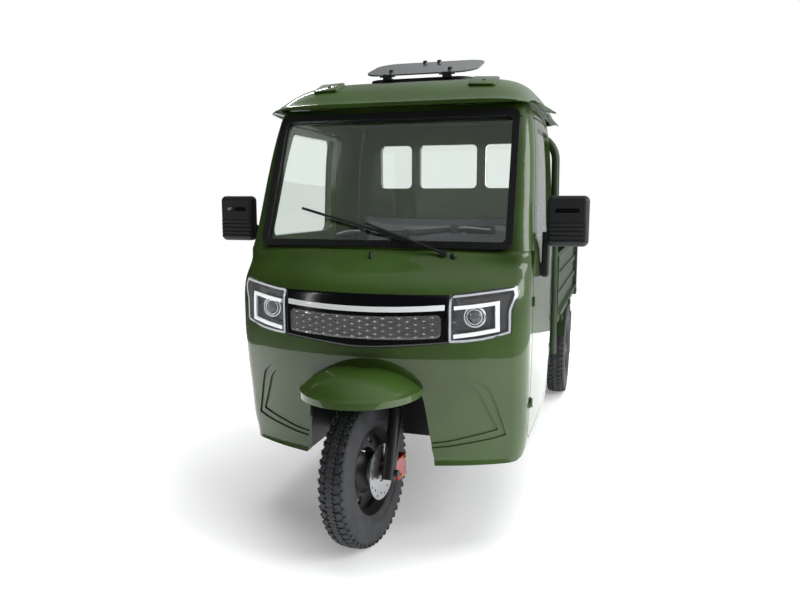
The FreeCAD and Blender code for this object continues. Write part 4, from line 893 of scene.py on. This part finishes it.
for side, label in ((1, "left"), (-1, "right")):
    bowl = sheet("lamp_bowl_" + label, 28, 24, lambda u, v: bowlPoint(u, v, side), 1.5 * mm)
    if side < 0:
        turnOutward(bowl)
    finish(bowl, "chassis", gaugeBlack, ["headlamps"] if side > 0 else [])
    finish(ribbon("lamp_guide_" + label, drlPath, 13, side, -4, 7.0), "chassis", guideWhite, angle=60)
    finish(ribbon("lamp_trim_" + label, trimPath, 7, side, -2, 4.0), "chassis", silverBowl, angle=60)
    place = onLens(projector["x"], projector["z"])
    centre = Vector((place.x * side, place.y + projector["behind"], place.z))
    outward = (projector["turnOut"] * side, -1, 0)
    forward = centre - Vector((0, projector["innerStep"], 0))
    ring = lampRing(centre, outward, projector["ring"], projector["ringThick"])
    innerRing = lampRing(forward, outward, projector["innerRing"], projector["innerThick"])
    finish(join("projector_rings_" + label, [ring, innerRing]), "chassis", silverBowl)
    bpy.ops.mesh.primitive_uv_sphere_add(segments=32, ring_count=20, radius=projector["eye"])
    eye = bpy.context.object
    eye.name = "projector_eye_" + label
    eye.scale = (1.0, projector["eyeFlat"], 1.0)
    eye.location = centre
    applyPlace(eye)
    finish(eye, "chassis", projectorGlass)
    barrel = bar("projector_barrel_" + label, centre, centre + Vector((0, projector["barrelDeep"], 0)),
                 projector["barrel"], 40, 1.5 * mm)
    finish(barrel, "chassis", gaugeBlack)
print("headlamps done")

# mirrors: ribbed lower half, a slot in the upper half, and the glass behind
mirror = {"low": (572, -1040, 1046), "high": (716, -988, 1222), "ribs": 5, "firstRib": 1060, "ribPitch": 15,
          "ribTall": 8, "ribIn": 8, "ribBack": 3, "slotLow": 1160, "slotHigh": 1178, "slotIn": 30,
          "glassHalf": (62, 78), "glassCorner": 16}
for side, label in ((1, "left"), (-1, "right")):
    body = "door_" + label
    dressed("mirror_" + label, body, plasticBlack)
    x0, x1 = mirror["low"][0] * mm, mirror["high"][0] * mm
    front = mirror["low"][1] * mm
    ribs = []
    for k in range(mirror["ribs"]):
        z = (mirror["firstRib"] + mirror["ribPitch"] * k) * mm
        low = (x0 + mirror["ribIn"] * mm, front - 2.5 * mm, z)
        high = (x1 - mirror["ribIn"] * mm, front + mirror["ribBack"] * mm, z + mirror["ribTall"] * mm)
        ribs.append(block("rib", low, high, 2 * mm))
    rail = block("rail", (x0 + mirror["slotIn"] * mm, front - 1.6 * mm, mirror["slotLow"] * mm),
                 (x1 - mirror["slotIn"] * mm, front + 2 * mm, mirror["slotHigh"] * mm), 1.5 * mm)
    rib = join("mirror_ribs_" + label, ribs)
    rail.name = "mirror_slot_" + label
    if side < 0:
        rib, rail = flipped(rib), flipped(rail)
    finish(rib, body, plasticBlack)
    finish(rail, body, gaugeBlack)
    centre = (side * (x0 + x1) / 2, mirror["high"][1] * mm + 0.5 * mm,
              (mirror["low"][2] + mirror["high"][2]) / 2 * mm)
    halfWide, halfTall = mirror["glassHalf"]
    pane = roundedPlate("mirror_glass_" + label, halfWide * mm, halfTall * mm, mirror["glassCorner"] * mm,
                        2 * mm, facing(centre, (0, 1, 0)), 0.4 * mm)
    finish(pane, body, mirrorGlass)
print("mirrors done")

# seats: cushions swollen by cloth pressure, in vinyl still wrapped in film, the film's sheen painted into a
# grey base colour
seatPad = {"past": 2 * mm, "voxel": 7 * mm, "shrink": 12 * mm, "cap": 20 * mm, "pressure": 4.0, "frames": 20,
           "pullIn": 9 * mm}


def swollenPad(node, name):
    piece = bpy.data.objects.new(name, nodes[node].data.copy())
    bpy.context.collection.objects.link(piece)
    selectOnly(piece)
    bpy.ops.object.mode_set(mode="EDIT")
    bpy.ops.mesh.select_all(action="SELECT")
    bpy.ops.mesh.remove_doubles(threshold=0.00003)
    bpy.ops.object.mode_set(mode="OBJECT")
    low, high = [Vector(corner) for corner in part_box(node)]
    centre, half = (low + high) / 2, (high - low) / 2
    thin = min(range(3), key=lambda axis: half[axis])
    for vertex in piece.data.vertices:
        for axis in range(3):
            inset = seatPad["shrink"] * (1.0 if axis != thin else 0.7)
            offset = vertex.co[axis] - centre[axis]
            vertex.co[axis] = centre[axis] + offset * (half[axis] - inset) / half[axis]
    addModifier(piece, "REMESH", {"mode": "VOXEL", "voxel_size": seatPad["voxel"]})
    start = [vertex.co.copy() for vertex in piece.data.vertices]
    cloth = piece.modifiers.new("Swell", "CLOTH")
    cloth.settings.effector_weights.gravity = 0.0
    cloth.settings.use_pressure = True
    cloth.settings.uniform_pressure_force = seatPad["pressure"]
    cloth.settings.quality = 5
    cloth.point_cache.frame_start = 1
    cloth.point_cache.frame_end = seatPad["frames"]
    for step in range(1, seatPad["frames"] + 1):
        bpy.context.scene.frame_set(step)
    selectOnly(piece)
    bpy.ops.object.modifier_apply(modifier="Swell")
    bpy.context.scene.frame_set(1)
    for vertex, origin in zip(piece.data.vertices, start):
        moved = vertex.co - origin
        if moved.length > seatPad["cap"]:
            vertex.co = origin + moved.normalized() * seatPad["cap"]
        for axis in range(3):
            if axis == thin:
                continue
            # the sides pull in between the corners
            across = (vertex.co[axis] - centre[axis]) / half[axis]
            other = 3 - thin - axis
            middle = 1.0 - min(1.0, abs(vertex.co[other] - centre[other]) / half[other]) ** 2
            vertex.co[axis] -= across ** 3 * middle * seatPad["pullIn"]
            highest = min(high[axis] + seatPad["past"], vertex.co[axis])
            vertex.co[axis] = max(low[axis] - seatPad["past"], highest)
    addModifier(piece, "SUBSURF", {"levels": 1, "render_levels": 1})
    return piece


for node in ("seat_cushion", "seat_back"):
    pad = swollenPad(node, node + "_cover")
    finish(pad, "chassis", vinyl, [node], 80)
print("seats done")

# front wheel: bright hub cap, valve and caliper bolts
hubProfile = [(25.5, 20), (25.5, 52), (30, 54), (36, 53), (50, 50), (58, 44), (58, 20), (25.5, 20)]
valve = {"foot": (30, 0, 138), "head": (44, 0, 128), "radius": 3 * mm, "turn": 40.0}
caliperBolt = {"places": ((-1238, 228), (-1200, 282)), "from": 103 * mm, "to": 109 * mm, "radius": 7 * mm}
onWheel = steerMatrix @ Matrix.Translation(frontHub)
hub = spunAboutX("front_hub_cap", [(x * mm, radius * mm) for x, radius in hubProfile], 48)
moveBy(hub, onWheel)
finish(hub, "front_wheel", aluminium)
stem = bar("front_valve", Vector(valve["foot"]) * mm, Vector(valve["head"]) * mm, valve["radius"], 12,
           0.6 * mm)
moveBy(stem, onWheel @ Matrix.Rotation(math.radians(valve["turn"]), 4, "X"))
finish(stem, "front_wheel", chrome)
bolts = []
for y, z in caliperBolt["places"]:
    start, end = (caliperBolt["from"], y * mm, z * mm), (caliperBolt["to"], y * mm, z * mm)
    bolts.append(bar("bolt", start, end, caliperBolt["radius"], 6, 1.2 * mm))
caliperBolts = join("caliper_bolts", bolts)
moveBy(caliperBolts, steerMatrix)
finish(caliperBolts, "steering", zinc)

# handlebar: levers, grip collars and perches, placed as the bar stands when it points straight ahead
controls = {"hub": (0, -951.9, 1052), "gripInner": (200, 150, 32), "gripOuter": (330, 190, 22),
            "lever": ((205, 112, 38), (232, 98, 40), (275, 100, 36), (318, 122, 29), (332, 132, 27)),
            "leverRadius": 4.5 * mm, "collarRadius": 19 * mm, "collarLong": 12 * mm, "collarBack": 9 * mm,
            "perchLow": (182, 100, 16), "perchHigh": (210, 160, 50)}


def atBar(place, side):
    x, y, z = place
    return (Vector(controls["hub"]) + Vector((x * side, y, z))) * mm


for side, label in ((1, "left"), (-1, "right")):
    lever = tube("lever_" + label, [atBar(place, side) for place in controls["lever"]],
                 controls["leverRadius"])
    moveBy(lever, steerMatrix)
    finish(lever, "steering", aluminium)
    gripInner = atBar(controls["gripInner"], side)
    direction = (atBar(controls["gripOuter"], side) - gripInner).normalized()
    collarStart = gripInner - direction * controls["collarBack"]
    collar = bar("grip_collar_" + label, collarStart, collarStart + direction * controls["collarLong"],
                 controls["collarRadius"], 32, 2 * mm)
    moveBy(collar, steerMatrix)
    finish(collar, "steering", orangeEnamel)
    corners = (atBar(controls["perchLow"], side), atBar(controls["perchHigh"], side))
    low, high = [[pick(pair) for pair in zip(*corners)] for pick in (min, max)]
    perch = block("lever_perch_" + label, low, high, 4 * mm)
    moveBy(perch, steerMatrix)
    finish(perch, "steering", plasticBlack)
print("controls done")

# small trim on the cab
hoodTree = surfaceTree("cab_front_panel", "windscreen_surround")
roofTree = surfaceTree("roof_panel")
lidTree = surfaceTree("roof_hatch")


def dropped(tree, x, y):
    hit, normal = tree.ray_cast(Vector((x, y, 2.5)), Vector((0, 0, -1)))[:2]
    return hit, (normal if normal.z > 0 else -normal)


washer = {"foot": (-18, -1210, 1002), "tip": (-21, -1194, 1024), "radius": 7 * mm,
          "ball": (275 * mm, -1184 * mm), "ballRadius": 11 * mm, "ballRise": 3 * mm}
nozzle = bar("washer_nozzle", Vector(washer["foot"]) * mm, Vector(washer["tip"]) * mm, washer["radius"], 20,
             2 * mm)
finish(nozzle, "chassis", plasticBlack)
hit, normal = dropped(hoodTree, *washer["ball"])
bpy.ops.mesh.primitive_uv_sphere_add(segments=24, ring_count=16, radius=washer["ballRadius"],
                                     location=hit + normal * washer["ballRise"])
ball = bpy.context.object
ball.name = "washer_ball"
applyPlace(ball)
finish(ball, "chassis", plasticBlack)

roofPad = {"x": 311 * mm, "y": -860 * mm, "half": 52 * mm, "corner": 14 * mm, "thick": 12 * mm,
           "edge": 4 * mm, "plugFoot": 6 * mm, "plugTop": 8.5 * mm, "plugRadius": 7 * mm}
for side, label in ((1, "left"), (-1, "right")):
    hit, normal = dropped(roofTree, side * roofPad["x"], roofPad["y"])
    pad = roundedPlate("roof_lamp_pad_" + label, roofPad["half"], roofPad["half"], roofPad["corner"],
                       roofPad["thick"], facing(hit + normal * mm, normal, (0, 1, 0)), roofPad["edge"])
    finish(pad, "chassis", olive)
    plug = bar("roof_pad_plug_" + label, hit + normal * roofPad["plugFoot"],
               hit + normal * roofPad["plugTop"], roofPad["plugRadius"], 24, 0.8 * mm)
    finish(plug, "chassis", plasticBlack)

hatchBolt = {"places": ((126, -628), (-126, -628), (32, -436), (-32, -436)), "radius": 9.5 * mm,
             "sunk": 1 * mm, "proud": 6 * mm}
for number, (x, y) in enumerate(hatchBolt["places"]):
    hit, normal = dropped(lidTree, x * mm, y * mm)
    cap = bar("hatch_bolt_%d" % number, hit - normal * hatchBolt["sunk"], hit + normal * hatchBolt["proud"],
              hatchBolt["radius"], 24, 2 * mm)
    finish(cap, "roof_hatch", plasticBlack)

flap = {"inner": 424 * mm, "outer": 528 * mm, "front": 1240 * mm, "back": 1244 * mm, "foot": 185 * mm,
        "head": 470 * mm}      # rubber mud flaps behind the rear tyres
for side, label in ((1, "left"), (-1, "right")):
    x0, x1 = sorted((side * flap["inner"], side * flap["outer"]))
    low, high = (x0, flap["front"], flap["foot"]), (x1, flap["back"], flap["head"])
    finish(block("mud_flap_" + label, low, high, 1.2 * mm), "chassis", rubberBlack)
print("trim done")

# studio
studio = {"floorRadius": 3.1, "key": 210.0, "top": 330.0, "streak": 16.0, "skyDark": 0.03,
          "skyBright": 0.75}
bpy.ops.mesh.primitive_circle_add(vertices=128, radius=studio["floorRadius"], fill_type="NGON",
                                  location=(0, 0, 0))
floor = bpy.context.object
floor.name = "studioFloor"
applyPlace(floor)
paint(floor, matteFloor())


def softbox(name, place, aim, size, power):
    light = bpy.data.lights.new(name, "AREA")
    light.shape = "RECTANGLE"
    light.size, light.size_y = size
    light.energy = power
    lamp = bpy.data.objects.new(name, light)
    bpy.context.collection.objects.link(lamp)
    lamp.location = place
    lamp.rotation_euler = (Vector(aim) - Vector(place)).to_track_quat("-Z", "Y").to_euler()
    return lamp


softbox("keyLight", (5.0, -1.6, 3.0), (0.2, -0.6, 0.9), (3.0, 3.4), studio["key"])
topLight = softbox("topLight", (0.6, 0.4, 5.4), (0.0, 0.0, 0.0), (4.0, 6.0), studio["top"])
topLight.visible_glossy = False
softbox("hoodStreak", (-2.3, 1.4, 3.3), (-0.3, -1.2, 0.95), (1.6, 0.10), studio["streak"])
softbox("leftStreak", (-3.6, -4.4, 2.0), (0.0, -1.0, 0.9), (0.12, 2.6), studio["streak"])

world = bpy.data.worlds.new("studioSky")
bpy.context.scene.world = world
world.use_nodes = True
world.node_tree.nodes.clear()
ray = addNode(world, "ShaderNodeLightPath")
plain = addNode(world, "ShaderNodeBackground", {"Color": (1.0, 1.0, 1.0, 1.0), "Strength": 1.0})
direction = addNode(world, "ShaderNodeTexCoord")
lean = addNode(world, "ShaderNodeVectorMath", {"operation": "DOT_PRODUCT"},
               {0: direction.outputs["Generated"]})
lean.inputs[1].default_value = (0.80, 0.40, 0.45)
across = addNode(world, "ShaderNodeMapRange", {"From Min": -0.1, "From Max": 0.95,
                                               "To Min": studio["skyDark"],
                                               "To Max": studio["skyBright"],
                                               "interpolation_type": "SMOOTHSTEP"},
                 {"Value": lean.outputs["Value"]})
sky = addNode(world, "ShaderNodeBackground", {"Color": (0.93, 0.96, 0.98, 1.0)},
              {"Strength": across.outputs["Result"]})
seen = addNode(world, "ShaderNodeMath", {"operation": "MAXIMUM"}, {0: ray.outputs["Is Camera Ray"],
                                                               1: ray.outputs["Is Transmission Ray"]})
mixed = addNode(world, "ShaderNodeMixShader", links={"Fac": seen.outputs["Value"]})
world.node_tree.links.new(sky.outputs["Background"], mixed.inputs[1])
world.node_tree.links.new(plain.outputs["Background"], mixed.inputs[2])
addNode(world, "ShaderNodeOutputWorld", links={"Surface": mixed.outputs["Shader"]})

view = {"place": (0.822, -3.577, 1.212), "turn": 17.16, "down": 8.10, "lens": 32.08, "sensor": 36.0}
bpy.ops.object.camera_add(location=view["place"],
                          rotation=(math.radians(90.0 - view["down"]), 0.0, math.radians(view["turn"])))
camera = bpy.context.object
camera.data.lens = view["lens"]
camera.data.sensor_width = view["sensor"]
bpy.context.scene.camera = camera
bpy.context.scene.view_settings.view_transform = "Standard"
print("studio done")
